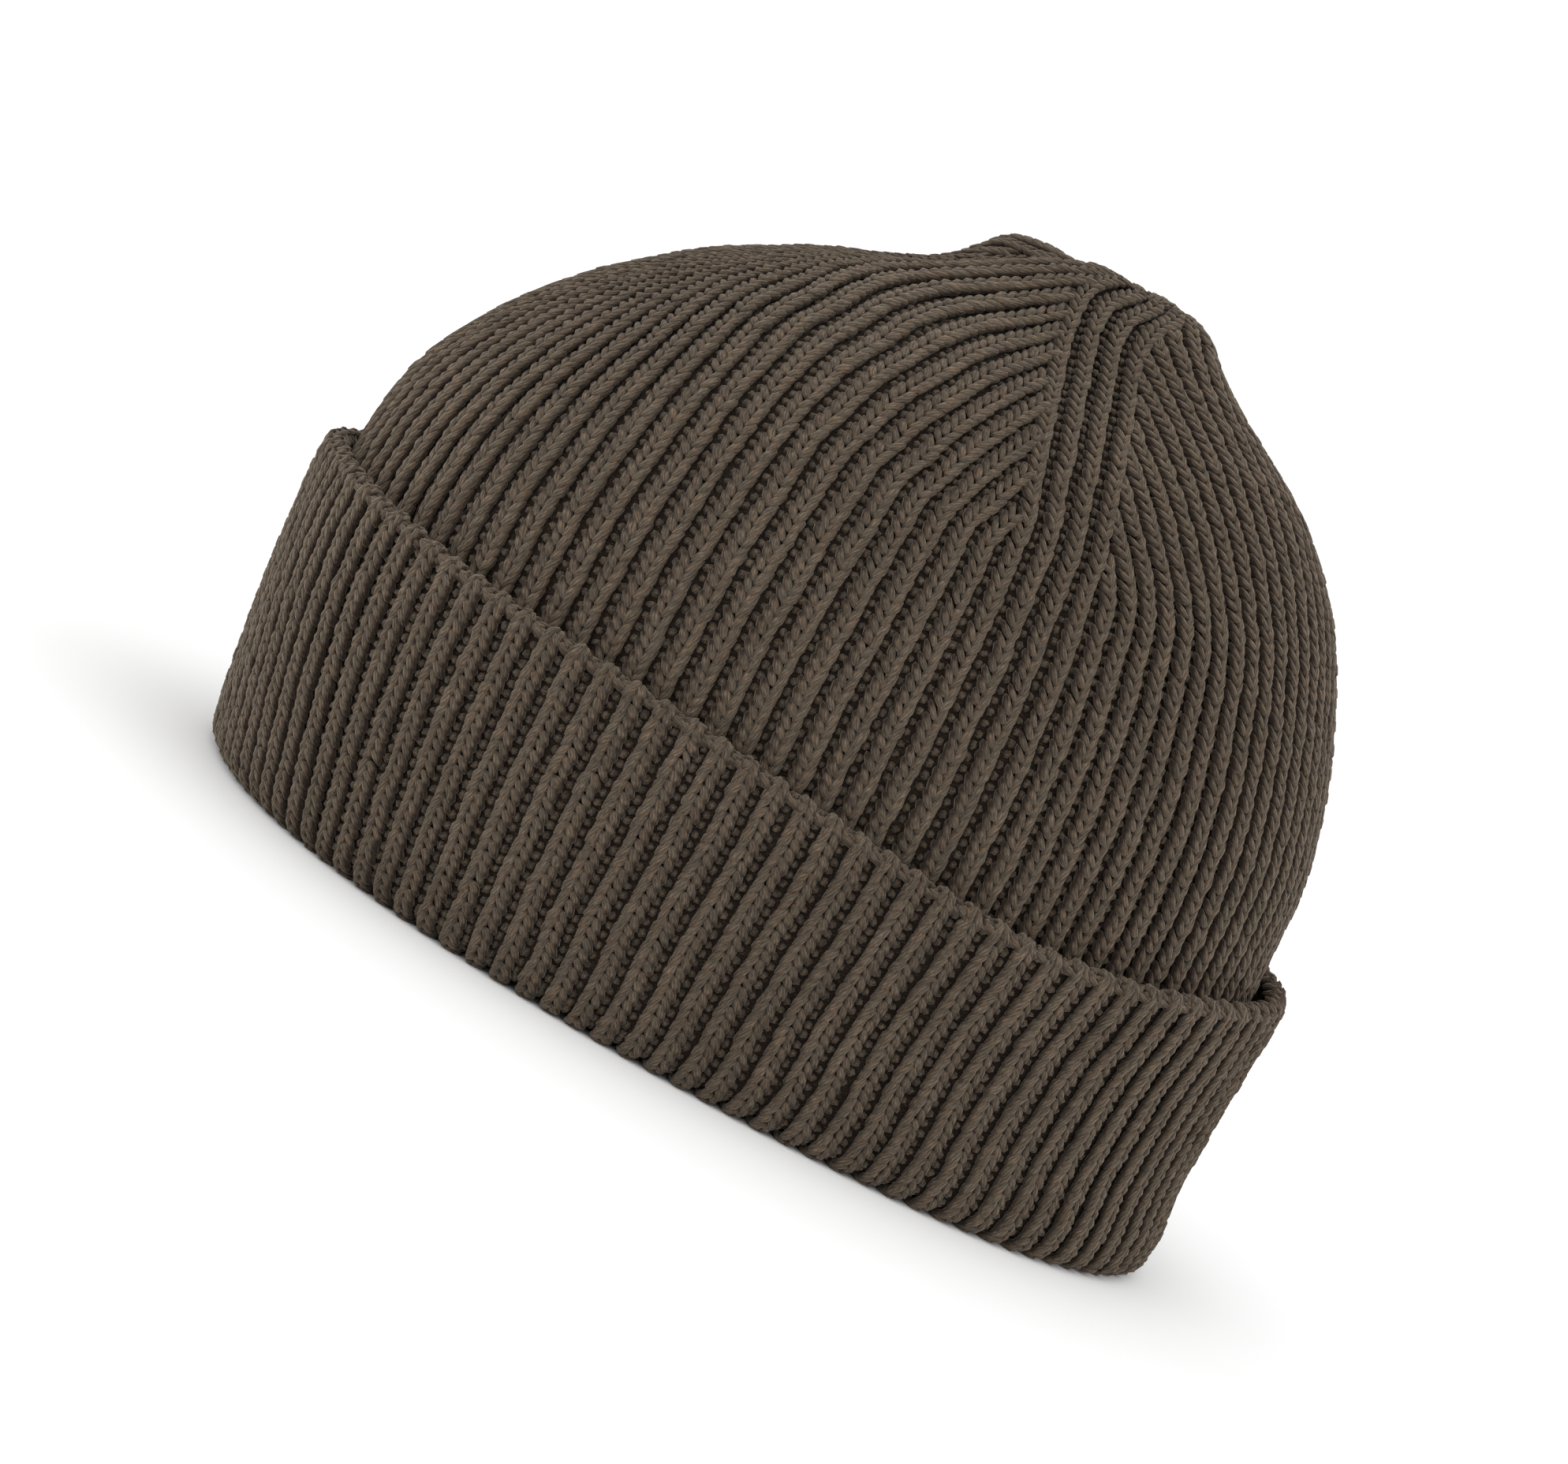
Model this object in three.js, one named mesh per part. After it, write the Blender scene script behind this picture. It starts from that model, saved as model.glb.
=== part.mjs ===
// A knitted cap with a turned-up cuff: a ribbed crown shaped by four darts, and a doubled cuff.
// Millimetres, +Z up. The rim lies on z = 0, the forehead side is -Y and the wearer's left is +X.
// Two solids: crown (the domed wall, open below) and cuff (the turned-up band with the rim's fold).

import * as THREE from "three";

// Knit: how many ribs there are, and how deep the valleys between them lie.
const QUARTERS = 4;
const HALF_DART_RIBS = 2;
const FULL_PANEL_RIBS = 21;
const RIB_DEPTH = 1.5;
const COLUMNS_PER_RIB = 2;
const SMOOTH_COLUMNS = 48;

// Walls, and the clearance where one piece lies against the other.
const CROWN_WALL = 4.0;
const CUFF_WALL = 5.0;
const SEAT_GAP = 0.35;

// The rim's fold: the floor's flat ring, the round corners and the ledge that carries the crown.
const FOLD_CORNER = 2.6;
const FOLD_HEIGHT = 4.6;
const FOLD_SHOULDER = 1.5;
const FOLD_SHOULDER_INSET = 0.7;
const FOLD_DEPTH = CUFF_WALL + SEAT_GAP + CROWN_WALL;
const LEDGE = FOLD_HEIGHT + SEAT_GAP;

// The cuff's rolled upper edge.
const ROLL_RADIUS = CUFF_WALL / 2;
const ROLL_STEPS = [0, 50, 90, 130, 180];
const CUFF_WALL_SHARES = [0.16, 0.34, 0.53, 0.73, 1.0];

// An oval's corners are a little fuller than an ellipse's.
const OVAL_POWER = 2.2;
const OVAL_STEPS = 240;
const FULL_TURN = 2 * Math.PI;

// The crown's outer sections, from the rim's ledge to the tip, which is drawn in below the top.
// height, front, back and halfBreadth are the section's place and reach from the origin.
// panelRibs are the ribs left in each panel, and slide is how far behind the section's middle the two
// side darts sit. sweep is how far the front ribs lean forward, pucker how far the darts are drawn in
// below the panels, dent how far the top is pressed in beside the front dart, and lobe how far it
// bulges beyond the dent.
const CROWN_SECTIONS = [
  { height: LEDGE, front: 97.6, back: 108.1, halfBreadth: 79.4, panelRibs: 0, slide: 7.1 },
  { height: 22, front: 102.2, back: 106.3, halfBreadth: 80.7, panelRibs: 0, slide: 7.1 },
  { height: 40, front: 105.3, back: 105.1, halfBreadth: 81.7, panelRibs: 21, slide: 7.1 },
  { height: 56, front: 107.4, back: 104.1, halfBreadth: 82.5, panelRibs: 21, slide: 7.1 },
  { height: 71, front: 108.1, back: 102.7, halfBreadth: 83.0, panelRibs: 21, slide: 6.9, sweep: 0.5 },
  { height: 86, front: 105.6, back: 100.9, halfBreadth: 81.3, panelRibs: 21, slide: 5.6, sweep: 2 },
  { height: 100, front: 98.9, back: 96.5, halfBreadth: 77.0, panelRibs: 21, slide: 4.3, sweep: 5.4 },
  { height: 113, front: 89.6, back: 90.9, halfBreadth: 71.2, panelRibs: 21, slide: 2.3, sweep: 9.4 },
  { height: 125, front: 78.0, back: 84.4, halfBreadth: 64.3, panelRibs: 19, slide: 0, sweep: 14.2, pucker: 0.2 },
  { height: 133, front: 68.8, back: 79.0, halfBreadth: 58.6, panelRibs: 17, slide: -3, sweep: 16.3, pucker: 0.4 },
  { height: 140, front: 58.6, back: 72.9, halfBreadth: 52.4, panelRibs: 15, slide: -5.4, sweep: 17.5, pucker: 0.7 },
  { height: 146, front: 48.8, back: 66.5, halfBreadth: 46.2, panelRibs: 13, slide: -7.5, sweep: 19.6, pucker: 1 },
  { height: 151.5, front: 37.6, back: 58.9, halfBreadth: 39.2, panelRibs: 11, slide: -9, sweep: 20, pucker: 1.3, dent: 0.8 },
  { height: 156, front: 29.4, back: 50.6, halfBreadth: 33.1, panelRibs: 9, slide: -9, sweep: 15, pucker: 1.5, dent: 1.8 },
  { height: 160, front: 23.2, back: 43.0, halfBreadth: 28.0, panelRibs: 7, slide: -8.4, sweep: 9, pucker: 1.6, dent: 2.4, lobe: 1.6 },
  { height: 164, front: 17.2, back: 36.4, halfBreadth: 23.0, panelRibs: 5, slide: -7.4, sweep: 4, pucker: 1.6, dent: 2.8, lobe: 3.3 },
  { height: 167.3, front: 11.0, back: 31.6, halfBreadth: 18.0, panelRibs: 3, slide: -6.2, sweep: 1.5, pucker: 1.4, dent: 2.6, lobe: 1.4 },
  { height: 169.6, front: 5.0, back: 28.6, halfBreadth: 13.4, panelRibs: 1, slide: -4.4, sweep: 0.4, pucker: 1, dent: 1.4, lobe: -0.9 },
  { height: 170.9, front: -1.2, back: 24.6, halfBreadth: 9.0, panelRibs: 1, slide: -2.4, pucker: 0.6, dent: 0.6, lobe: -0.6 },
  { height: 170.2, front: -6.6, back: 18.8, halfBreadth: 5.0, panelRibs: 1, slide: -1, pucker: 0.2 },
];
const CROWN_TIP = { height: 167.6, y: 12.4 };
const FIRST_RIBBED_SECTION = 2;
const INNER_SECTIONS = [0, 2, 4, 5, 6, 7, 8, 10, 12, 14, 16, 17];
const INNER_TIP_DROP = 0.4;

// Where on the round the ribs sweep forward, the dent and the lobe lie, in shares of the way from the
// forehead by the wearer's left. before and after are how far each spreads to its two sides.
const SWEEP = { middle: 0.08, before: 0.16, after: 0.085 };
const DENT = { middle: -0.035, before: 0.045, after: 0.045 };
const LOBE = { middle: -0.12, before: 0.075, after: 0.075 };

// The cuff's outer sections, at its rib crests.
const CUFF_SECTIONS = [
  { height: 0, front: 104.0, back: 113.6, halfBreadth: 85.4 },
  { height: 8, front: 105.8, back: 114.1, halfBreadth: 86.0 },
  { height: 20, front: 108.2, back: 112.2, halfBreadth: 86.5 },
  { height: 34, front: 110.6, back: 111.4, halfBreadth: 87.1 },
  { height: 50, front: 112.9, back: 111.2, halfBreadth: 88.1 },
  { height: 60, front: 113.8, back: 111.0, halfBreadth: 88.4 },
  { height: 70, front: 113.6, back: 110.4, halfBreadth: 88.2 },
];

// Height of the cuff's upper edge, by angle from the forehead towards the wearer's left and on round.
const CUFF_EDGE = [
  { angle: 0, height: 65.0 },
  { angle: 35, height: 63.8 },
  { angle: 65, height: 62.9 },
  { angle: 88, height: 59.6 },
  { angle: 110, height: 57.4 },
  { angle: 140, height: 61.6 },
  { angle: 180, height: 64.2 },
  { angle: 225, height: 61.0 },
  { angle: 265, height: 60.2 },
  { angle: 310, height: 63.4 },
];

// Where the cuff's ribs lean, and how far round. The fans lean them from the rim up, against each
// other before and beside the ear, and fade out at FAN_HEIGHT. The pull leans them near the edge.
const CUFF_FANS = [
  { middle: 0, before: 0.08, after: 0.08, reach: 11.5 },
  { middle: 0.27, before: 0.12, after: 0.12, reach: -5.4 },
];
const FAN_HEIGHT = 50;
const FAN_POWER = 1.5;
const CUFF_PULL = { middle: 0.35, before: 0.075, after: 0.075, reach: 2.5, from: 0.6 };

const YARN = new THREE.Color(0x4a4236);

// Smooth rise from 0 to 1.
function ease(share) {
  const t = THREE.MathUtils.clamp(share, 0, 1);
  return t * t * (3 - 2 * t);
}

// Rises to 1 at a place on the round, and falls off to both sides of it.
function bump(share, { middle, before, after }) {
  const off = share - middle - Math.round(share - middle);
  return Math.exp(-((off / (off < 0 ? before : after)) ** 2));
}

// A smooth curve through one named column of a table, by the column that orders its rows.
function curveThrough(rows, by, name) {
  const at = rows.map((row) => row[by]);
  const curve = new THREE.CubicInterpolant(at, rows.map((row) => row[name]), 1);
  return (place) => curve.evaluate(THREE.MathUtils.clamp(place, at[0], at[at.length - 1]))[0];
}

// The rows of a table of angles with the last one repeated before it and the first ones after it.
function closedTable(rows) {
  const shifted = (row, by) => ({ ...row, angle: row.angle + by });
  return [shifted(rows[rows.length - 1], -360), ...rows, shifted(rows[0], 360), shifted(rows[1], 360)];
}

// An oval in plan, walked by its own length from the forehead round by the wearer's left.
class Oval {
  constructor({ front, back, halfBreadth }) {
    this.halfLength = (front + back) / 2;
    this.halfBreadth = halfBreadth;
    this.middle = (back - front) / 2;
    this.walked = [0];
    for (let step = 1; step <= OVAL_STEPS; step += 1) {
      const from = this.atAngle(((step - 1) / OVAL_STEPS) * FULL_TURN);
      const to = this.atAngle((step / OVAL_STEPS) * FULL_TURN);
      this.walked.push(this.walked[step - 1] + from.distanceTo(to));
    }
    this.length = this.walked[OVAL_STEPS];
  }

  atAngle(angle) {
    const c = Math.cos(angle);
    const s = Math.sin(angle);
    const reach = (Math.abs(c) ** OVAL_POWER + Math.abs(s) ** OVAL_POWER) ** (-1 / OVAL_POWER);
    return new THREE.Vector2(this.halfBreadth * s * reach, this.middle - this.halfLength * c * reach);
  }

  angleOf(share) {
    const target = (share - Math.floor(share)) * this.length;
    let step = 1;
    while (this.walked[step] < target) {
      step += 1;
    }
    const part = (target - this.walked[step - 1]) / (this.walked[step] - this.walked[step - 1]);
    return ((step - 1 + part) / OVAL_STEPS) * FULL_TURN;
  }

  // The point at a share of the way round, and the way out from there.
  at(share) {
    const angle = this.angleOf(share);
    const nudge = FULL_TURN / OVAL_STEPS;
    const ahead = this.atAngle(angle + nudge).sub(this.atAngle(angle - nudge)).normalize();
    return { point: this.atAngle(angle), outward: new THREE.Vector2(ahead.y, -ahead.x) };
  }
}

// Shares of the way round at which a section has its points: each rib's valley and then its crest.
function ribColumns(panelRibs) {
  const ribs = panelRibs + 2 * HALF_DART_RIBS;
  const columns = [];
  for (let column = 0; column < QUARTERS * ribs * COLUMNS_PER_RIB; column += 1) {
    columns.push({
      share: column / (QUARTERS * ribs * COLUMNS_PER_RIB),
      sunk: column % COLUMNS_PER_RIB === 0 ? RIB_DEPTH : 0,
    });
  }
  return columns;
}

function smoothColumns(count) {
  return Array.from({ length: count }, (_, column) => ({ share: column / count, sunk: 0 }));
}

// A closed surface that is built ring after ring, each listed the same way round.
class RingSurface {
  constructor() {
    this.points = [];
    this.faces = [];
  }

  ring(points) {
    const first = this.points.length;
    this.points.push(...points);
    return points.map((_, index) => first + index);
  }

  // Joins a ring to the next one, where partner gives the column of the shorter ring for each
  // column of the longer. Columns that share a partner close in a fan, as a rib does where it ends.
  bridge(ring, next, partner) {
    const widening = next.length > ring.length;
    const long = widening ? next : ring;
    const short = widening ? ring : next;
    const add = (a, b, c) => this.faces.push(...(widening ? [a, c, b] : [a, b, c]));
    for (let column = 0; column < long.length; column += 1) {
      const follower = (column + 1) % long.length;
      const here = partner(column) % short.length;
      const there = partner(column + 1) % short.length;
      add(long[column], long[follower], short[here]);
      if (here !== there) {
        add(long[follower], short[there], short[here]);
      }
    }
  }

  evenBridge(ring, next) {
    const long = Math.max(ring.length, next.length);
    const short = Math.min(ring.length, next.length);
    this.bridge(ring, next, (column) => Math.floor((column * short) / long));
  }

  geometry() {
    const geometry = new THREE.BufferGeometry();
    geometry.setAttribute("position", new THREE.Float32BufferAttribute(this.points.flat(), 3));
    geometry.setIndex(this.faces);
    geometry.computeVertexNormals();
    return geometry;
  }
}

// Which column of the upper section a column of the lower one runs into. The ribs that end lie
// beside the darts, and close on the valley between the dart's outer rib and the panel.
function ribPartner(lowerRibs, upperRibs) {
  const ended = ((lowerRibs - upperRibs) / 2) * COLUMNS_PER_RIB;
  const dart = HALF_DART_RIBS * COLUMNS_PER_RIB;
  const lowerQuarter = lowerRibs * COLUMNS_PER_RIB + 2 * dart;
  const upperQuarter = upperRibs * COLUMNS_PER_RIB + 2 * dart;
  return (column) => {
    const quarter = Math.floor(column / lowerQuarter);
    const place = column - quarter * lowerQuarter;
    const pastFirst = Math.max(dart, place - ended);
    const inPanel = place < dart ? place : Math.min(pastFirst, upperQuarter - dart);
    const upper = Math.max(inPanel, place - 2 * ended);
    return quarter * upperQuarter + upper;
  };
}

// The way out of the crown's wall at a section, as shares along the plan's outward and along Z.
// The lowest section is cut square, so that it sits flat on the ledge.
function crownSlope(index) {
  if (index === 0) {
    return new THREE.Vector2(1, 0);
  }
  const below = CROWN_SECTIONS[index - 1];
  const above = CROWN_SECTIONS[Math.min(index + 1, CROWN_SECTIONS.length - 1)];
  const reach = (row) => (row.front + row.back + 2 * row.halfBreadth) / 4;
  const slope = new THREE.Vector2(above.height - below.height, reach(below) - reach(above));
  return slope.normalize();
}

// The crown's points on one section, sunk below its outer face by depth and by each valley.
function crownRing(index, columns, depth) {
  const section = CROWN_SECTIONS[index];
  const { slide, sweep = 0, pucker = 0, dent = 0, lobe = 0 } = section;
  const oval = new Oval(section);
  const slope = crownSlope(index);
  return columns.map(({ share, sunk }) => {
    const behind = slide * Math.sin(FULL_TURN * share) - sweep * bump(share, SWEEP);
    const slid = share + behind / oval.length;
    const { point, outward } = oval.at(slid);
    const drawnIn = (pucker * (1 + Math.cos(QUARTERS * FULL_TURN * share))) / 2;
    const inset = depth + sunk + drawnIn + dent * bump(slid, DENT) - lobe * bump(slid, LOBE);
    return [
      point.x - outward.x * slope.x * inset,
      point.y - outward.y * slope.x * inset,
      section.height - slope.y * inset,
    ];
  });
}

// The domed wall: down its inner face from the tip, under its lower edge, and up its outer face,
// which is smooth where the cuff hides it and ribbed above.
function crown() {
  const surface = new RingSurface();
  const smooth = smoothColumns(SMOOTH_COLUMNS);
  let ring = surface.ring([[0, CROWN_TIP.y, CROWN_TIP.height - CROWN_WALL - INNER_TIP_DROP]]);
  const extend = (points, bridge) => {
    const next = surface.ring(points);
    bridge(ring, next);
    ring = next;
  };
  const evenly = (from, to) => surface.evenBridge(from, to);
  for (const index of [...INNER_SECTIONS].reverse()) {
    extend(crownRing(index, smooth, CROWN_WALL), evenly);
  }
  for (let index = 0; index < FIRST_RIBBED_SECTION; index += 1) {
    extend(crownRing(index, smooth, 0), evenly);
  }
  extend(crownRing(FIRST_RIBBED_SECTION, ribColumns(FULL_PANEL_RIBS), 0), evenly);
  for (let index = FIRST_RIBBED_SECTION + 1; index < CROWN_SECTIONS.length; index += 1) {
    const { panelRibs } = CROWN_SECTIONS[index];
    const partner = ribPartner(CROWN_SECTIONS[index - 1].panelRibs, panelRibs);
    extend(crownRing(index, ribColumns(panelRibs), 0), (from, to) => surface.bridge(from, to, partner));
  }
  extend([[0, CROWN_TIP.y, CROWN_TIP.height]], evenly);
  return surface.geometry();
}

// The height of the cuff's upper edge at a share of the way round.
const edgeCurve = curveThrough(closedTable(CUFF_EDGE), "angle", "height");
const cuffEdge = (share) => edgeCurve((share - Math.floor(share)) * 360);

const cuffFront = curveThrough(CUFF_SECTIONS, "height", "front");
const cuffBack = curveThrough(CUFF_SECTIONS, "height", "back");
const cuffHalfBreadth = curveThrough(CUFF_SECTIONS, "height", "halfBreadth");

// A point of the cuff at a share of the way round, inset from its outer face, at a height.
function cuffPoint(share, inset, height) {
  const oval = new Oval({
    front: cuffFront(height),
    back: cuffBack(height),
    halfBreadth: cuffHalfBreadth(height),
  });
  const { point, outward } = oval.at(share);
  return [point.x - outward.x * inset, point.y - outward.y * inset, height];
}

const RIM_GIRTH = new Oval(CUFF_SECTIONS[0]).length;

// How far round the cuff's ribs lean at a height, in shares of the way round.
function cuffLean(share, height, edge) {
  const fade = Math.max(1 - height / FAN_HEIGHT, 0) ** FAN_POWER;
  const fanned = CUFF_FANS.reduce((sum, fan) => sum + fan.reach * bump(share, fan) * fade, 0);
  const { reach, from } = CUFF_PULL;
  const pulled = reach * bump(share, CUFF_PULL) * ease((height / edge - from) / (1 - from));
  return (fanned + pulled) / RIM_GIRTH;
}

// One ring of the cuff. place gives the inset and the height for an edge height.
function cuffRing(columns, place) {
  return columns.map(({ share, sunk }) => {
    const edge = cuffEdge(share);
    const { inset, height } = place(edge);
    const leant = share + cuffLean(share, height, edge);
    return cuffPoint(leant, inset + sunk, height);
  });
}

// The turned-up band: along the rim's fold, up the ribbed face, over the roll, down behind and
// in over the ledge that carries the crown.
function cuff() {
  const surface = new RingSurface();
  const ribbed = ribColumns(FULL_PANEL_RIBS);
  const smooth = smoothColumns(SMOOTH_COLUMNS);
  const wallTop = (edge) => edge - ROLL_RADIUS;
  const rollPlace = (degrees) => (edge) => ({
    inset: ROLL_RADIUS * (1 - Math.cos(THREE.MathUtils.degToRad(degrees))),
    height: wallTop(edge) + ROLL_RADIUS * Math.sin(THREE.MathUtils.degToRad(degrees)),
  });
  const rings = [
    { columns: smooth, place: () => ({ inset: FOLD_DEPTH - FOLD_CORNER / 2, height: 0 }) },
    { columns: ribbed, place: () => ({ inset: FOLD_CORNER, height: 0 }) },
    { columns: ribbed, place: () => ({ inset: FOLD_SHOULDER_INSET, height: FOLD_SHOULDER }) },
    { columns: ribbed, place: () => ({ inset: 0, height: FOLD_HEIGHT }) },
  ];
  for (const share of CUFF_WALL_SHARES.slice(0, -1)) {
    rings.push({
      columns: ribbed,
      place: (edge) => ({ inset: 0, height: THREE.MathUtils.lerp(FOLD_HEIGHT, wallTop(edge), share) }),
    });
  }
  for (const degrees of ROLL_STEPS) {
    rings.push({ columns: degrees < 180 ? ribbed : smooth, place: rollPlace(degrees) });
  }
  rings.push(
    { columns: smooth, place: (edge) => ({ inset: CUFF_WALL, height: wallTop(edge) / 2 }) },
    { columns: smooth, place: () => ({ inset: CUFF_WALL, height: FOLD_HEIGHT }) },
    { columns: smooth, place: () => ({ inset: FOLD_DEPTH, height: FOLD_HEIGHT }) },
    { columns: smooth, place: () => ({ inset: FOLD_DEPTH, height: FOLD_SHOULDER }) },
  );
  const laid = rings.map(({ columns, place }) => surface.ring(cuffRing(columns, place)));
  laid.forEach((ring, index) => surface.evenBridge(ring, laid[(index + 1) % laid.length]));
  return surface.geometry();
}

function knitted(name, geometry) {
  const material = new THREE.MeshStandardMaterial({ color: YARN, roughness: 0.95, metalness: 0 });
  const mesh = new THREE.Mesh(geometry, material);
  mesh.name = name;
  return mesh;
}

const cap = new THREE.Group();
cap.name = "cuffed_beanie";
cap.add(knitted("crown", crown()));
cap.add(knitted("cuff", cuff()));

export default cap;
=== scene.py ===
"""Looks of a cuffed beanie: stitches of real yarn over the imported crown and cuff, in a pale studio.

The tables are in millimetres, as a knitting pattern's are, and MM turns them into metres. The cap
stands on its rim: the forehead side is -Y, the wearer's left side is +X, and +Z is up. A place on
its round is a share of the way from the forehead by the wearer's left, from 0 to 1.
"""
import logging
import math
from dataclasses import dataclass, field, fields, replace
from enum import Enum
from typing import TypeVar

import bpy
import numpy as np
from mathutils import Matrix, Vector

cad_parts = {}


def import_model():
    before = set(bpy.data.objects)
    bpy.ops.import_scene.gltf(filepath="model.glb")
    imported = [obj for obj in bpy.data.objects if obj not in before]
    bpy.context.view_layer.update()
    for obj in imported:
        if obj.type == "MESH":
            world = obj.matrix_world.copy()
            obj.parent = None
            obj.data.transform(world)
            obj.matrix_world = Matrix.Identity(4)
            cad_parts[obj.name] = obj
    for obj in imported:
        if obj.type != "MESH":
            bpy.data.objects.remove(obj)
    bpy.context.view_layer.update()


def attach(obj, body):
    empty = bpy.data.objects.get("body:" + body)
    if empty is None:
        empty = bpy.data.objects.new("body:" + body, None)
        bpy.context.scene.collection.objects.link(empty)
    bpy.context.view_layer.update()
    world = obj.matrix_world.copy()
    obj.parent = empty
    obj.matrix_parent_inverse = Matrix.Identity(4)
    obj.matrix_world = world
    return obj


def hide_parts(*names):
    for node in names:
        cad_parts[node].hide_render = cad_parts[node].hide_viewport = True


LOG = logging.getLogger("beanie")
Arrays = TypeVar("Arrays")
MM = 0.001
SEED = 4711

QUARTERS = 4
PANEL_RIBS = 21
DART_RIBS = 4
QUARTER_RIBS = PANEL_RIBS + DART_RIBS
RIBS = QUARTERS * QUARTER_RIBS
OVAL_POWER = 2.2
OVAL_STEPS = 720
COLUMNS = RIBS * 8
PANEL_NAMES = ("front_left", "back_left", "back_right", "front_right")
HALF_NAMES = ("left", "right")

CROWN_WALL = 4.0
CUFF_WALL = 5.0
SEAT_GAP = 0.35
FOLD_DEPTH = CUFF_WALL + SEAT_GAP + CROWN_WALL
FOLD_HEIGHT = 4.6
LEDGE = FOLD_HEIGHT + SEAT_GAP
CUFF_GIRTH = 605.0
ROLL_RADIUS = CUFF_WALL / 2
TABLE_GAP = 0.02

# The pitch from which a rib has yarn of full thickness.
FULL_PITCH = 5.2
# How far a stitch's tone shifts its yarn coordinates, so that its fibres are its own.
YARN_SHIFT = (37.0, 91.0)
# How much less a stitch stands out at its ends than at its middle, which paints its ends with shade.
END_SHADE = 0.6
# The crest and the tone of the plain walls behind the stitches; the low crest paints the walls with
# shade.
WALL_SHADE = 0.5


@dataclass(frozen=True)
class Section:
    """One level of the crown: its oval, how many ribs a panel still has, and its dart shaping."""

    height: float
    front: float
    back: float
    half_breadth: float
    panel_ribs: float = 21.0
    slide: float = 0.0
    sweep: float = 0.0
    pucker: float = 0.0
    dent: float = 0.0
    lobe: float = 0.0


@dataclass(frozen=True)
class Oval:
    """One level of the cuff's outer face."""

    height: float
    front: float
    back: float
    half_breadth: float


@dataclass(frozen=True)
class Edge:
    """The height of the cuff's upper edge at an angle from the forehead, by the wearer's left."""

    angle: float
    height: float


CROWN_SECTIONS = (
    Section(LEDGE, 97.6, 108.1, 79.4, slide=7.1),
    Section(22, 102.2, 106.3, 80.7, slide=7.1),
    Section(40, 105.3, 105.1, 81.7, slide=7.1),
    Section(56, 107.4, 104.1, 82.5, slide=7.1),
    Section(71, 108.1, 102.7, 83.0, slide=6.9, sweep=0.5),
    Section(86, 105.6, 100.9, 81.3, slide=5.6, sweep=2.0),
    Section(100, 98.9, 96.5, 77.0, slide=4.3, sweep=5.4),
    Section(113, 89.6, 90.9, 71.2, slide=2.3, sweep=9.4),
    Section(119, 84.2, 87.8, 68.0, slide=1.2, sweep=11.8, pucker=0.1),
    Section(125, 78.0, 84.4, 64.3, 19.8, slide=0.0, sweep=14.2, pucker=0.2),
    Section(133, 68.8, 79.0, 58.6, 17.6, slide=-3.0, sweep=16.3, pucker=0.4),
    Section(140, 58.6, 72.9, 52.4, 15.4, slide=-5.4, sweep=17.5, pucker=0.7),
    Section(146, 48.8, 66.5, 46.2, 13.2, slide=-7.5, sweep=19.6, pucker=1.0),
    Section(151.5, 37.6, 58.9, 39.2, 11.0, slide=-9.0, sweep=20.0, pucker=1.3, dent=0.8),
    Section(156, 29.4, 50.6, 33.1, 8.8, slide=-9.0, sweep=15.0, pucker=1.5, dent=1.8),
    Section(160, 23.2, 43.0, 28.0, 6.6, slide=-8.4, sweep=9.0, pucker=1.6, dent=2.4, lobe=1.6),
    Section(164, 17.2, 36.4, 23.0, 4.4, slide=-7.4, sweep=4.0, pucker=1.6, dent=2.8, lobe=3.3),
    Section(167.3, 11.0, 31.6, 18.0, 2.2, slide=-6.2, sweep=1.5, pucker=1.4, dent=2.6, lobe=1.4),
    Section(169.6, 5.0, 28.6, 13.4, 0.6, slide=-4.4, sweep=0.4, pucker=1.0, dent=1.4, lobe=-0.9),
    Section(170.9, -1.2, 24.6, 9.0, 0.0, slide=-2.4, pucker=0.6, dent=0.6, lobe=-0.6),
    Section(170.2, -6.6, 18.8, 5.0, 0.0, slide=-1.0, pucker=0.2),
    Section(167.6, -12.4, 12.4, 0.0, 0.0),
)

CUFF_SECTIONS = (
    Oval(0, 104.0, 113.6, 85.4),
    Oval(8, 105.8, 114.1, 86.0),
    Oval(20, 108.2, 112.2, 86.5),
    Oval(34, 110.6, 111.4, 87.1),
    Oval(50, 112.9, 111.2, 88.1),
    Oval(60, 113.8, 111.0, 88.4),
    Oval(70, 113.6, 110.4, 88.2),
)

CUFF_EDGE = (
    Edge(0, 65.0),
    Edge(35, 63.8),
    Edge(65, 62.9),
    Edge(88, 59.6),
    Edge(110, 57.4),
    Edge(140, 61.6),
    Edge(180, 64.2),
    Edge(225, 61.0),
    Edge(265, 60.2),
    Edge(310, 63.4),
)


class Nap(Enum):
    """Which way the V of a stitch opens, up or down the wall."""

    UP = 1.0
    DOWN = -1.0


def columns(rows: tuple[object, ...]) -> dict[str, np.ndarray]:
    """Turns the rows of a table into one array for each of its columns."""
    names = [column.name for column in fields(rows[0])]
    return {name: np.array([getattr(row, name) for row in rows]) for name in names}


def joined(lots: list[Arrays]) -> Arrays:
    """Joins several sets of arrays of one kind, field by field.

    Args:
        lots: The sets, each a dataclass of arrays.

    Returns:
        One such set.
    """
    kind = type(lots[0])
    names = [column.name for column in fields(kind)]
    return kind(*(np.concatenate([getattr(lot, name) for lot in lots]) for name in names))


def centred(count: int) -> np.ndarray:
    """Lists places that are 1 apart, with their middle at 0."""
    return np.arange(count) - (count - 1) / 2


def walk_along(points: np.ndarray) -> np.ndarray:
    """Finds how far along a line of points each one lies."""
    return np.concatenate(([0.0], np.cumsum(np.linalg.norm(np.diff(points, axis=0), axis=1))))


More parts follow.
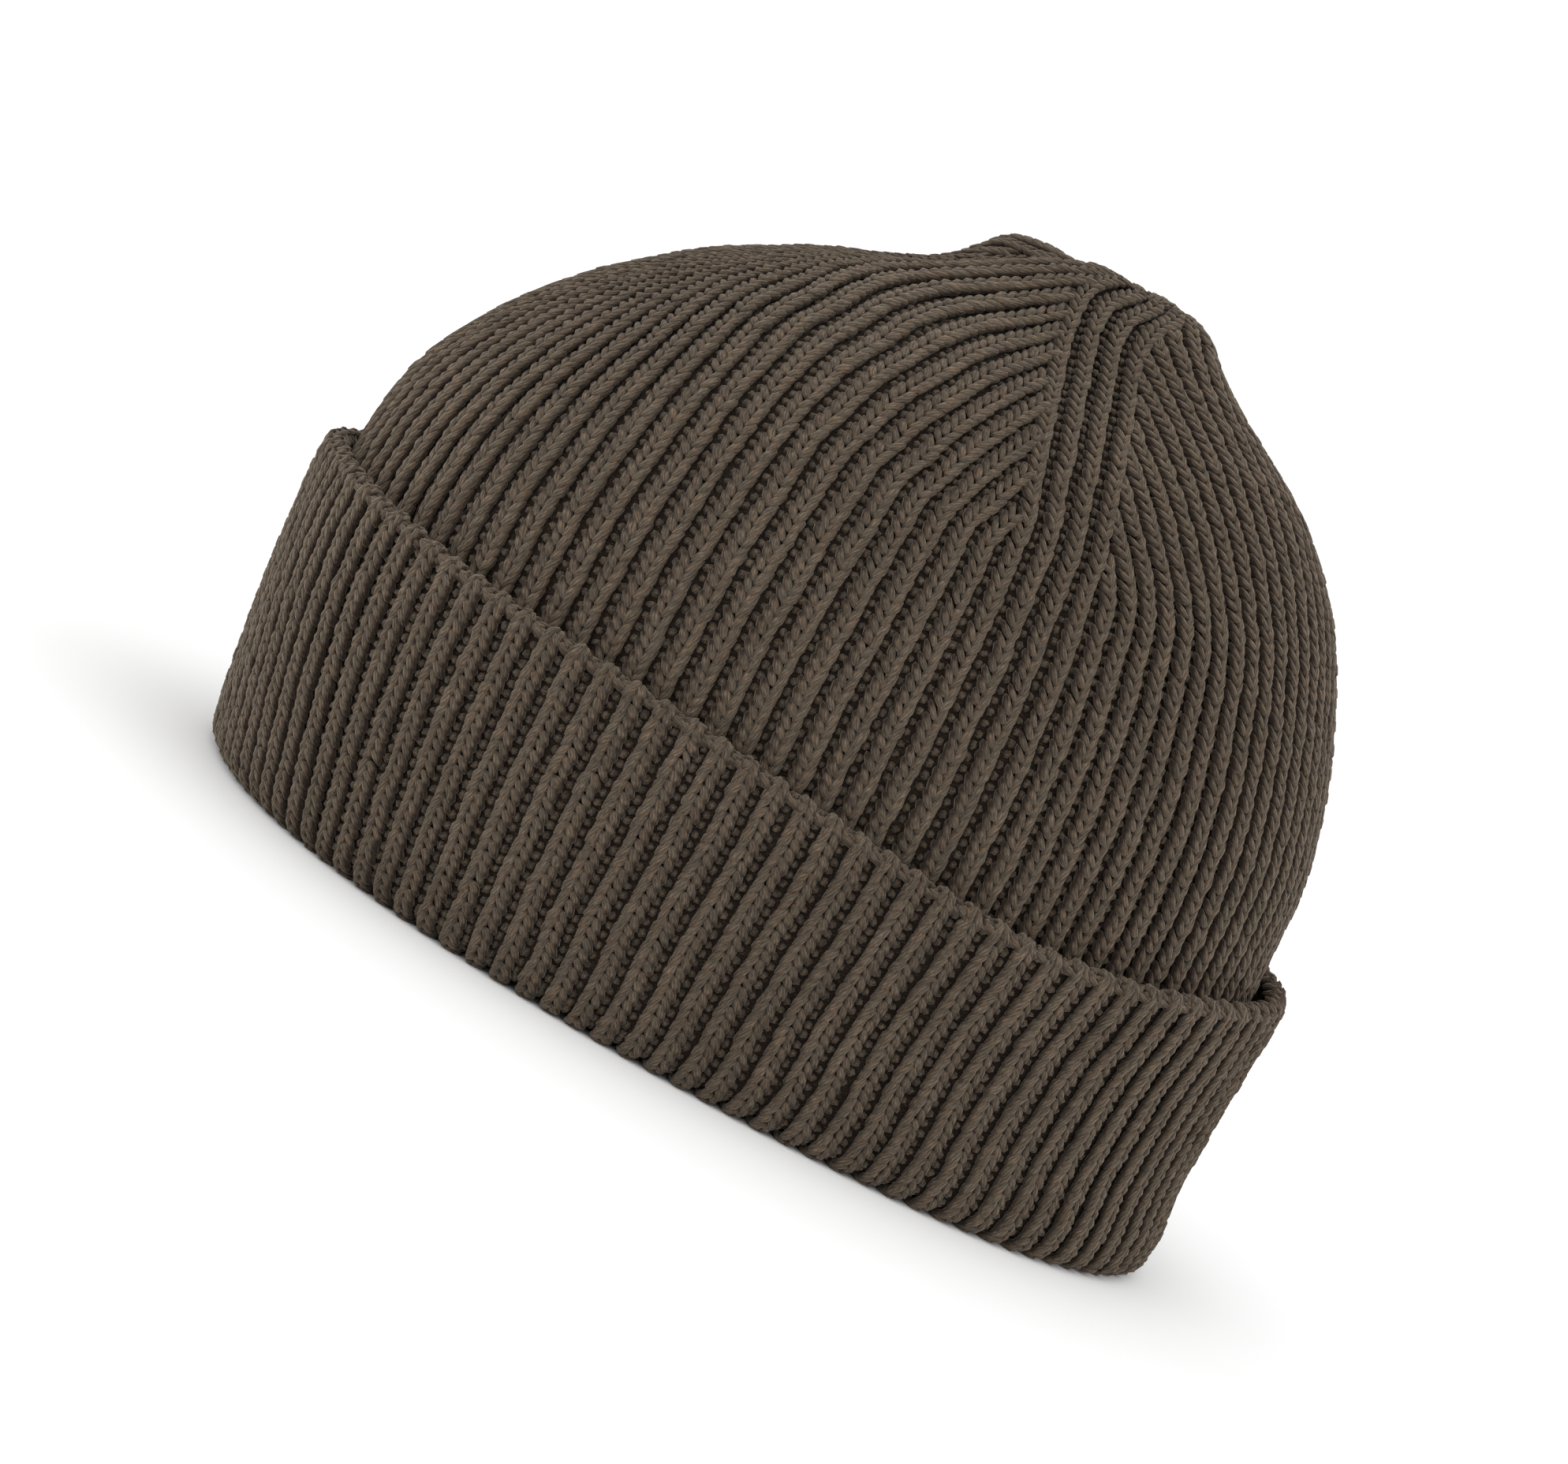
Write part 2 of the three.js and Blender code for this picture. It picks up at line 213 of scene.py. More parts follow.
def mean_reach(oval: dict[str, np.ndarray]) -> np.ndarray:
    """Finds the mean of what ovals reach to the front, to the back and to both sides."""
    return (oval["front"] + oval["back"] + 2 * oval["half_breadth"]) / 4


def smooth_curve(places: np.ndarray, values: np.ndarray, wanted: np.ndarray) -> np.ndarray:
    """Reads a smooth curve that passes through the rows of a table.

    Args:
        places: The rows' places, rising.
        values: The rows' values.
        wanted: The places to read at.

    Returns:
        The curve's value at each wanted place.
    """
    gaps = np.diff(places)
    rises = np.diff(values) / gaps
    slopes = np.empty(len(places))
    slopes[1:-1] = (gaps[1:] * rises[:-1] + gaps[:-1] * rises[1:]) / (gaps[:-1] + gaps[1:])
    slopes[0], slopes[-1] = rises[0], rises[-1]
    wanted = np.clip(wanted, places[0], places[-1])
    row = np.clip(np.searchsorted(places, wanted, side="right") - 1, 0, len(gaps) - 1)
    t = (wanted - places[row]) / gaps[row]
    ends = values[row] * (1 + 2 * t) * (1 - t) ** 2 + values[row + 1] * t**2 * (3 - 2 * t)
    return ends + gaps[row] * t * (1 - t) * (slopes[row] * (1 - t) - slopes[row + 1] * t)


def ease(share: np.ndarray) -> np.ndarray:
    """Rises smoothly from 0 to 1."""
    t = np.clip(share, 0.0, 1.0)
    return t * t * (3 - 2 * t)


def bump(shares: np.ndarray, middle: float, before: float, after: float) -> np.ndarray:
    """Rises to 1 at one place on the round and falls off to both sides.

    Args:
        shares: Shares of the way round.
        middle: Where the bump is highest.
        before: How far it spreads on the side of the lower shares.
        after: How far it spreads on the side of the higher shares.

    Returns:
        The bump's height at each share.
    """
    off = np.mod(shares - middle + 0.5, 1.0) - 0.5
    return np.exp(-((off / np.where(off < 0.0, before, after)) ** 2))


def unit(vectors: np.ndarray) -> np.ndarray:
    """Scales each vector to length 1."""
    return vectors / np.maximum(np.linalg.norm(vectors, axis=-1, keepdims=True), 1e-12)


def oval_ring(front: float, back: float, half_breadth: float, shares: np.ndarray) -> np.ndarray:
    """Walks an oval by its own length.

    Args:
        front: Reach towards -Y.
        back: Reach towards +Y.
        half_breadth: Reach to each side.
        shares: Shares of the way round.

    Returns:
        The X and Y of each share.
    """
    angles = np.linspace(0.0, 2 * math.pi, OVAL_STEPS + 1)
    cosine, sine = np.cos(angles), np.sin(angles)
    reach = (np.abs(cosine) ** OVAL_POWER + np.abs(sine) ** OVAL_POWER) ** (-1 / OVAL_POWER)
    across = half_breadth * sine * reach
    ahead = (back - front) / 2 - (front + back) / 2 * cosine * reach
    curve = np.stack((across, ahead), axis=1)
    walked = walk_along(curve)
    if walked[-1] < 1e-6:
        return np.repeat(curve[:1], len(shares), axis=0)
    place = np.mod(shares, 1.0) * walked[-1]
    return np.stack([np.interp(place, walked, curve[:, axis]) for axis in range(2)], axis=1)


class KnitSurface:
    """A wall's face as a close grid of points, read at any level and share of the way round."""

    def __init__(self, points: np.ndarray) -> None:
        """Keeps the grid and works out which way each point faces.

        Args:
            points: The grid, level by level from low to high, each level once round.
        """
        self.points = points
        self.levels = len(points)
        around = np.roll(points, -1, axis=1) - np.roll(points, 1, axis=1)
        upward = np.gradient(points, axis=0)
        self.outward = unit(np.cross(around, upward))

    def _read(self, vectors: np.ndarray, level: np.ndarray, share: np.ndarray) -> np.ndarray:
        """Reads the grid's vectors between its points.

        Args:
            vectors: One vector for each grid point.
            level: Levels, from 0 to the last.
            share: Shares of the way round.

        Returns:
            One vector for each place.
        """
        low = np.clip(np.floor(level).astype(int), 0, self.levels - 2)
        up = np.clip(level - low, 0.0, 1.0)[:, None]
        column = np.mod(share, 1.0) * vectors.shape[1]
        left = np.floor(column).astype(int) % vectors.shape[1]
        right = (left + 1) % vectors.shape[1]
        over = (column - np.floor(column))[:, None]
        lower = vectors[low, left] * (1 - over) + vectors[low, right] * over
        upper = vectors[low + 1, left] * (1 - over) + vectors[low + 1, right] * over
        return lower * (1 - up) + upper * up

    def place(self, level: np.ndarray, share: np.ndarray, depth: float = 0.0) -> np.ndarray:
        """Finds points on the face, or at a depth under it.

        Args:
            level: Levels, from 0 to the last.
            share: Shares of the way round.
            depth: How far under the face, in mm.

        Returns:
            The points.
        """
        return self._read(self.points, level, share) - depth * self.facing(level, share)

    def facing(self, level: np.ndarray, share: np.ndarray) -> np.ndarray:
        """Finds the way out of the wall at each place."""
        return unit(self._read(self.outward, level, share))

    def stretch(self, level: np.ndarray, share: np.ndarray) -> np.ndarray:
        """Finds how many mm a whole turn would have at the rate of each place.

        Args:
            level: Levels, from 0 to the last.
            share: Shares of the way round.

        Returns:
            A length for each place.
        """
        nudge = 0.5 / COLUMNS
        after, before = (self._read(self.points, level, share + way) for way in (nudge, -nudge))
        return np.linalg.norm(after - before, axis=1) / (2 * nudge)

    def ring(self, level: float, count: int, depth: float) -> np.ndarray:
        """Finds one ring of evenly spaced points at a level and depth."""
        return self.place(np.full(count, level), np.arange(count) / count, depth)


@dataclass
class Courses:
    """Stitches along ribs, one row each: place, directions and room, in mm."""

    point: np.ndarray
    along: np.ndarray
    out: np.ndarray
    pitch: np.ndarray
    share: np.ndarray

    @property
    def across(self) -> np.ndarray:
        """The way across each rib."""
        return np.cross(self.along, self.out)

    def only(self, keep: np.ndarray) -> "Courses":
        """Keeps some of the stitches."""
        return Courses(*(getattr(self, column.name)[keep] for column in fields(self)))

    def part(self, index: int, parts: int) -> "Courses":
        """Keeps the stitches of one of several equal parts of the round."""
        return self.only(np.floor(np.mod(self.share, 1.0) * parts) == index)


@dataclass(frozen=True)
class Waver:
    """How far a hand would find the ribs and rows off a perfect lattice."""

    rib_drift: float = 0.12
    drift_pitch: float = 6.5
    rib_wave: float = 26.0
    short_wave: float = 0.41
    short_share: float = 0.5
    row_jitter: float = 0.08
    side_jitter: float = 0.07
    lift_jitter: float = 0.07


def lay_rows(
    surface: KnitSurface,
    levels: np.ndarray,
    shares: np.ndarray,
    ribs_round: np.ndarray,
    row: float,
    start: float,
    waver: Waver,
    random: np.random.Generator,
) -> Courses:
    """Lays stitches at even spacing along one rib.

    Args:
        surface: The face that carries the rib.
        levels: The rib's levels, close together.
        shares: The rib's shares at those levels.
        ribs_round: How many such ribs a whole turn has, at those levels.
        row: The spacing of the rows, in mm.
        start: How far up the rib the first stitch is, in rows.
        waver: How uneven the knit is.
        random: The source of the unevenness.

    Returns:
        The rib's stitches.
    """
    turn = np.maximum(surface.stretch(levels, shares), 1e-3)
    walked = walk_along(surface.place(levels, shares))
    phase = random.uniform(0.0, 2 * math.pi, 2)
    short_wave = waver.short_wave * waver.rib_wave
    wave = np.sin(2 * math.pi * walked / waver.rib_wave + phase[0])
    wave += waver.short_share * np.sin(2 * math.pi * walked / short_wave + phase[1])
    pitch = turn / ribs_round
    drifted = shares + waver.rib_drift * (pitch / waver.drift_pitch) * wave / turn
    points = surface.place(levels, drifted)
    stops = np.arange(start * row, walked[-1], row)
    stops = stops + random.normal(0.0, waver.row_jitter, len(stops))
    along = unit(np.gradient(points, axis=0))
    facing = surface.facing(levels, drifted)

    def at(vectors: np.ndarray) -> np.ndarray:
        """Reads the rib's vectors at each stitch."""
        return np.stack([np.interp(stops, walked, vectors[:, axis]) for axis in range(3)], axis=1)

    out = unit(at(facing))
    way = at(along)
    way = unit(way - out * np.sum(way * out, axis=1, keepdims=True))
    point = at(points)
    point += np.cross(way, out) * random.normal(0.0, waver.side_jitter, len(stops))[:, None]
    point += out * random.normal(0.0, waver.lift_jitter, len(stops))[:, None]
    pitch, share = np.interp(stops, walked, pitch), np.interp(stops, walked, shares)
    return Courses(point, way, out, pitch, share)


@dataclass
class Template:
    """A mesh as arrays.

    Corners has the point of each face corner, starts the first corner of each face, and yarn the
    yarn coordinate of each corner. Crest says how far each point stands out of the knit, from 0
    to 1.
    """

    points: np.ndarray
    corners: np.ndarray
    starts: np.ndarray
    yarn: np.ndarray
    # Where the crest is low, the finish paints shade: on each grain's underside and ends.
    crest: np.ndarray


@dataclass
class Skin(Template):
    """A mesh in mm that also has the tone of each point, from 0 to 1, low where it paints shade."""

    tone: np.ndarray

    def make(self, name: str) -> bpy.types.Object:
        """Makes a smooth-shaded object.

        Args:
            name: The object's name.

        Returns:
            The object, in the scene.
        """
        mesh = bpy.data.meshes.new(name)
        mesh.vertices.add(len(self.points))
        mesh.vertices.foreach_set("co", (self.points * MM).astype(np.float32).ravel())
        mesh.loops.add(len(self.corners))
        mesh.loops.foreach_set("vertex_index", self.corners.astype(np.int32))
        mesh.polygons.add(len(self.starts))
        mesh.polygons.foreach_set("loop_start", self.starts.astype(np.int32))
        mesh.polygons.foreach_set("use_smooth", np.ones(len(self.starts), bool))
        mesh.uv_layers.new(name="yarn")
        mesh.uv_layers["yarn"].data.foreach_set("uv", self.yarn.astype(np.float32).ravel())
        for kind, values in (("tone", self.tone), ("crest", self.crest)):
            mesh.attributes.new(kind, "FLOAT", "POINT")
            mesh.attributes[kind].data.foreach_set("value", values.astype(np.float32))
        mesh.update(calc_edges=True)
        made = bpy.data.objects.new(name, mesh)
        bpy.context.scene.collection.objects.link(made)
        return made


def read_template(shape: bpy.types.Object) -> Template:
    """Reads a modelled shape as arrays.

    Args:
        shape: The shape, with a UV map.

    Returns:
        Its arrays.
    """
    mesh = shape.data
    points = np.array([vertex.co for vertex in mesh.vertices])
    corners = np.array([loop.vertex_index for loop in mesh.loops])
    starts = np.array([face.loop_start for face in mesh.polygons])
    yarn = np.array([corner.uv for corner in mesh.uv_layers.active.data])
    # Crest falls towards each grain's underside and its ends, which the finish paints with shade.
    crest = np.clip((points[:, 2] + 1) / 2, 0.0, 1.0) * (1 - END_SHADE * np.abs(points[:, 1]) ** 3)
    return Template(points, corners, starts, yarn, crest)


@dataclass(frozen=True)
class Grain:
    """A plump length of yarn with tucked ends, the form that repeats all over the knit."""

    segments: int
    rings: int
    fullness: float
    waist: float = 0.2
    end: float = 0.99

    def template(self) -> Template:
        """Models the grain lying along Y with a radius of 1, and reads it back.

        Returns:
            The grain's arrays.
        """
        bpy.ops.object.select_all(action="DESELECT")
        bpy.ops.mesh.primitive_uv_sphere_add(
            segments=self.segments, ring_count=self.rings, radius=1.0
        )
        grain = bpy.context.object
        bpy.ops.object.mode_set(mode="EDIT")
        bpy.ops.mesh.select_all(action="SELECT")
        bpy.ops.transform.rotate(value=math.pi / 2, orient_axis="X", center_override=(0, 0, 0))
        bpy.ops.object.mode_set(mode="OBJECT")
        for vertex in grain.data.vertices:
            vertex.select = self.waist < abs(vertex.co.y) < self.end
        bpy.ops.object.mode_set(mode="EDIT")
        bpy.ops.transform.resize(value=(self.fullness, 1, self.fullness), center_override=(0, 0, 0))
        bpy.ops.object.mode_set(mode="OBJECT")
        made = read_template(grain)
        bpy.data.objects.remove(grain)
        return made


FACE_GRAIN = Grain(segments=6, rings=4, fullness=1.18)
LINING_GRAIN = Grain(segments=4, rings=3, fullness=1.1)


@dataclass(frozen=True)
class Bead:
    """A small round bump, the form of a purl stitch."""

    subdivisions: int = 1

    def template(self) -> Template:
        """Models the bead with a radius of 1, and reads it back.

        Returns:
            The bead's arrays.
        """
        bpy.ops.object.select_all(action="DESELECT")
        bpy.ops.mesh.primitive_ico_sphere_add(
            subdivisions=self.subdivisions, radius=1.0, calc_uvs=True
        )
        bead = read_template(bpy.context.object)
        bpy.data.objects.remove(bpy.context.object)
        return bead


@dataclass
class Heap:
    """Placed copies of templates that gather into one mesh."""

    name: str
    lots: list[Skin] = field(default_factory=list)

    def add(
        self,
        form: Template,
        placed: np.ndarray,
        girth: float,
        length: np.ndarray,
        tone: np.ndarray,
        crest: np.ndarray,
    ) -> None:
        """Adds copies of a template.

        Args:
            form: The template.
            placed: The template's points once for each copy, in mm.
            girth: How far round a copy its yarn coordinates go, in mm.
            length: How far along each copy they go, in mm.
            tone: One tone for each copy, from 0 to 1, random, and low on the purl beads as painted
                shade.
            crest: How far each placed point stands out of the knit, from 0 to 1, lowered on the
                flanks; a low crest is painted with shade.
        """
        copies, each = placed.shape[:2]
        step = np.arange(copies)[:, None]
        points_before = sum(len(lot.points) for lot in self.lots)
        corners_before = sum(len(lot.corners) for lot in self.lots)
        size = np.stack((np.full(copies, girth), length), axis=1)[:, None, :]
        shift = (tone[:, None] * YARN_SHIFT)[:, None, :]
        lot = Skin(
            points=placed.reshape(-1, 3),
            corners=(form.corners + each * step + points_before).ravel(),
            starts=(form.starts + len(form.corners) * step + corners_before).ravel(),
            yarn=(form.yarn * size + shift).reshape(-1, 2),
            crest=crest.ravel(),
            tone=np.repeat(tone, each),
        )
        self.lots.append(lot)

    def build(self, material: bpy.types.Material, node: str, slot: str) -> bpy.types.Object:
        """Makes the mesh, its yarn flat where it rests on the table, and dresses it.

        Args:
            material: The finish.
            node: The CAD node that the piece replaces.
            slot: A material slot's name, which is not used.

        Returns:
            The new object.
        """
        skin = joined(self.lots)
        skin.points[:, 2] = np.maximum(skin.points[:, 2], TABLE_GAP)
        return dress(skin.make(self.name), material, node)


def dress(
    made: bpy.types.Object, material: bpy.types.Material, node: str
) -> bpy.types.Object:
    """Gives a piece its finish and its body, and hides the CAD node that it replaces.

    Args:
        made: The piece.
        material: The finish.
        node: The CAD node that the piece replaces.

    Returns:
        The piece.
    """
    made.data.materials.append(material)
    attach(made, "root")
    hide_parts(node)
    return made


def ring_shell(name: str, rings: list[np.ndarray], closed: bool) -> bpy.types.Object:
    """Skins a list of rings with faces.

    Args:
        name: The object's name.
        rings: Rings of equally many points, or of one point at a pole, in mm.
        closed: Whether the last ring joins the first.

    Returns:
        The object.
    """
    firsts = np.cumsum([0] + [len(ring) for ring in rings])
    faces: list[tuple[int, ...]] = []
    pairs = list(zip(range(len(rings) - 1), range(1, len(rings))))
    if closed:
        pairs.append((len(rings) - 1, 0))
    for low, high in pairs:
        count = max(len(rings[low]), len(rings[high]))
        below, above = firsts[low], firsts[high]
        for column in range(count):
            after = (column + 1) % count
            if len(rings[low]) == 1:
                faces.append((below, above + after, above + column))
            elif len(rings[high]) == 1:
                faces.append((below + column, below + after, above))
            else:
                faces.append((below + column, below + after, above + after, above + column))
    points = np.concatenate(rings)
    corners = np.array([corner for face in faces for corner in face])
    starts = np.cumsum([0] + [len(face) for face in faces[:-1]])
    yarn = np.stack((points[corners, 2], points[corners, 0] + points[corners, 1]), axis=1)
    # The walls take a low crest and a middle tone, so the finish paints them with shade.
    plain = np.full(len(points), WALL_SHADE)
    return Skin(points, corners, starts, yarn, crest=plain, tone=plain).make(name)


def stand(local: np.ndarray, centre: np.ndarray, axes: tuple[np.ndarray, ...]) -> np.ndarray:
    """Sets copies of a shape at their places.

    Args:
        local: The shape's points for each copy, along its own three axes.
        centre: Each copy's place.
        axes: The three axes, each with one vector for each copy.

    Returns:
        The placed points.
    """
    placed = centre[:, None, :]
    for column, axis in enumerate(axes):
        placed = placed + local[..., column : column + 1] * axis[:, None, :]
    return placed


@dataclass(frozen=True)
class Leg:
    """One leg of a stitch.

    Width and spread are shares of the rib's pitch, the length is one of the row's spacing, lean,
    tuck and roll are in degrees, and the depth is in mm.
    """

    side: float
    lean: float
    half_width: float
    half_length: float
    spread: float
    tuck: float
    roll: float
    depth: float
    # How strongly shade is painted on the leg's outer flank, beside the valley.
    flank_shade: float


@dataclass(frozen=True)
class Stitch:
    """A knit stitch: a short steep leg and a long one that runs on along the rib like a rope."""

    short: Leg = Leg(
        side=-1.0,
        lean=32.0,
        half_width=0.142,
        half_length=0.95,
        spread=0.150,
        tuck=13.0,
        roll=26.0,
        depth=0.90,
        flank_shade=0.82,
    )
    rope: Leg = Leg(
        side=1.0,
        lean=14.0,
        half_width=0.148,
        half_length=1.08,
        spread=0.160,
        tuck=9.0,
        roll=20.0,
        depth=0.80,
        flank_shade=0.36,
    )
    half_height: float = 0.92
    thin_length: float = 0.45
    bow: float = 0.10
    girth: float = 4.6
    tones: tuple[float, float] = (0.3, 1.0)
    lean_jitter: float = 4.5
    fat_jitter: float = 0.09
    length_jitter: float = 0.05
    # Where across the rib, in shares of its pitch, painted shade on the flanks starts, and over how
    # much it grows full.
    flank_from: float = 0.20
    flank_breadth: float = 0.14
    # The least crest a leg keeps, so that its edges are never painted fully with shade.
    least_crest: float = 0.25

    def legs(
        self,
        heap: Heap,
        form: Template,
        courses: Courses,
        row: float,
        nap: Nap,
        random: np.random.Generator,
    ) -> None:
        """Adds both legs of each stitch to a heap.

        Args:
            heap: Where the legs go.
            form: The leg's form.
            courses: The stitches.
            row: The spacing of the rows, in mm.
            nap: Which way the V opens.
            random: The source of the unevenness.
        """
        across, along, out = courses.across * nap.value, courses.along * nap.value, courses.out
        slim = np.minimum(courses.pitch / FULL_PITCH, 1.0)
        count = len(courses.point)
        for leg in (self.short, self.rope):
            lean = np.radians(leg.lean + random.normal(0.0, self.lean_jitter, count))[:, None]
            roll = math.radians(leg.roll)
            axis = along * np.cos(lean) + across * leg.side * np.sin(lean)
            axis = unit(axis - out * math.sin(math.radians(leg.tuck)))
            flat = unit(np.cross(axis, out))
            width = unit(flat * math.cos(roll) - out * leg.side * math.sin(roll))
            height = np.cross(width, axis)
            fat = random.normal(1.0, self.fat_jitter, count)
            half_length = leg.half_length * row * (self.thin_length + (1 - self.thin_length) * slim)
            half_length = half_length * random.normal(1.0, self.length_jitter, count)
            half_width = leg.half_width * courses.pitch * fat
            scale = np.stack((half_width, half_length, self.half_height * slim * fat), axis=1)
            centre = courses.point + across * (leg.side * leg.spread * courses.pitch)[:, None]
            centre = centre - out * (leg.depth * slim)[:, None]
            local = form.points[None] * scale[:, None, :]
            bow = 1 - 2 * form.points[None, :, 1] ** 2
            local[..., 0] += self.bow * leg.side * slim[:, None] * bow
            placed = stand(local, centre, (width, axis, height))
            # Paint shade on the flanks towards the valleys by lowering the crest there.
            aside = ((placed - courses.point[:, None, :]) * across[:, None, :]).sum(axis=2)
            aside = np.abs(aside) / courses.pitch[:, None]
            flank = ease((aside - self.flank_from) / self.flank_breadth)
            crest = self.least_crest + (1 - self.least_crest) * form.crest[None]
            crest = crest * (1 - leg.flank_shade * flank)
            tone = random.uniform(*self.tones, count)
            heap.add(form, placed, self.girth, 2 * half_length, tone, crest)


@dataclass(frozen=True)
class Purl:
    """The bump of a purl stitch in the valley between two ribs."""

    half_width: float = 0.175
    half_thickness: float = 0.90
    half_height: float = 0.80
    depth: float = 2.05
    aside: float = 0.03
    girth: float = 3.2
    # Low tones put the beads in the dark end of the tone ramp: painted shade deep in the valleys,
    # random within.
    tones: tuple[float, float] = (0.0, 0.3)
    tilt_jitter: float = 20.0
    aside_jitter: float = 0.025
    unevenness: float = 0.12

    def bumps(
        self, heap: Heap, form: Template, courses: Courses, nap: Nap, random: np.random.Generator
    ) -> None:
        """Adds one bump for each stitch to a heap.

        Args:
            heap: Where the bumps go.
            form: The bump's form.
            courses: The valley's stitches.
            nap: Which way the knit was worked.
            random: The source of the unevenness.
        """
        count = len(courses.point)
        tilt = np.radians(random.normal(0.0, self.tilt_jitter, count))[:, None]
        axis = courses.across * np.cos(tilt) + courses.along * np.sin(tilt) * nap.value
        width = np.cross(axis, courses.out)
        slim = np.minimum(courses.pitch / FULL_PITCH, 1.0)
        half_width = self.half_width * courses.pitch
        scale = np.stack((self.half_thickness * slim, half_width, self.half_height * slim), axis=1)
        scale = random.normal(1.0, self.unevenness, (count, 3)) * scale
        aside = courses.pitch * random.normal(self.aside, self.aside_jitter, count) * nap.value
        centre = courses.point + courses.across * aside[:, None]
        centre = centre - courses.out * (self.depth * slim)[:, None]
        placed = stand(form.points[None] * scale[:, None, :], centre, (width, axis, courses.out))
        tone = random.uniform(*self.tones, count)
        heap.add(form, placed, self.girth, 2 * scale[:, 1], tone, np.tile(form.crest, (count, 1)))


class NodeBench:
    """Adds and joins the nodes of one material."""

    def __init__(self, name: str) -> None:
        """Starts a material with nothing but its output.

        Args:
            name: The material's name.
        """
        self.material = bpy.data.materials.new(name)
        self.material.use_nodes = True
        self.tree = self.material.node_tree
        self.tree.nodes.clear()
        self.output = self.tree.nodes.new("ShaderNodeOutputMaterial")

    def add(
        self, kind: str, inputs: dict[str | int, object] | None = None, **settings: object
    ) -> bpy.types.Node:
        """Adds a node.

        Args:
            kind: The node's type without its ShaderNode.
            inputs: A value or another node's socket for each named or numbered input.
            settings: The node's own settings.

        Returns:
            The node.
        """
        node = self.tree.nodes.new("ShaderNode" + kind)
        for name, value in settings.items():
            setattr(node, name, value)
        for name, value in (inputs or {}).items():
            if isinstance(value, bpy.types.NodeSocket):
                self.tree.links.new(value, node.inputs[name])
            else:
                node.inputs[name].default_value = value
        return node

    def stretched(
        self, vector: bpy.types.NodeSocket, turn: float, scale: tuple[float, float]
    ) -> bpy.types.NodeSocket:
        """Turns a flat coordinate and stretches it.

        Args:
            vector: The coordinate.
            turn: The turn, in radians.
            scale: The scale along both axes.

        Returns:
            The new coordinate's socket.
        """
        inputs = {"Vector": vector, "Rotation": (0, 0, turn), "Scale": (*scale, 1.0)}
        return self.add("Mapping", inputs).outputs[0]

    def noise(
        self, vector: bpy.types.NodeSocket, scale: float, detail: float, roughness: float = 0.5
    ) -> bpy.types.NodeSocket:
        """Adds a cloudy pattern.

        Args:
            vector: The coordinate that it reads.
            scale: How fine it is.
            detail: How many finer patterns lie on it.
            roughness: How strong those are.

        Returns:
            The pattern's socket.
        """
        inputs = {"Vector": vector, "Scale": scale, "Detail": detail, "Roughness": roughness}
        return self.add("TexNoise", inputs).outputs["Fac"]

    def ramp(
        self, fac: bpy.types.NodeSocket, stops: tuple[tuple[float, float], ...]
    ) -> bpy.types.NodeSocket:
        """Turns a value into another through a table of grey stops.

        Args:
            fac: The value.
            stops: A place and a grey for each stop.

        Returns:
            The new value's socket.
        """
        node = self.add("ValToRGB", {"Fac": fac})
        elements = node.color_ramp.elements
        while len(elements) < len(stops):
            elements.new(0.5)
        for element, (place, grey) in zip(elements, stops):
            element.position = place
            element.color = (grey, grey, grey, 1.0)
        return node.outputs["Color"]

    def mix(
        self, fac: object, first: object, second: object, blend: str = "MIX"
    ) -> bpy.types.NodeSocket:
        """Mixes two colours.

        Args:
            fac: The second colour's share, a number or a socket.
            first: A colour or a socket.
            second: A colour or a socket.
            blend: How they mix.

        Returns:
            The mixed colour's socket.
        """
        node = self.add("Mix", {0: fac, 6: first, 7: second}, data_type="RGBA", blend_type=blend)
        return node.outputs[2]

    def finish(self, shader: bpy.types.Node) -> bpy.types.Material:
        """Joins the shader to the output."""
        self.tree.links.new(shader.outputs[0], self.output.inputs["Surface"])
        return self.material


Colour = tuple[float, float, float, float]


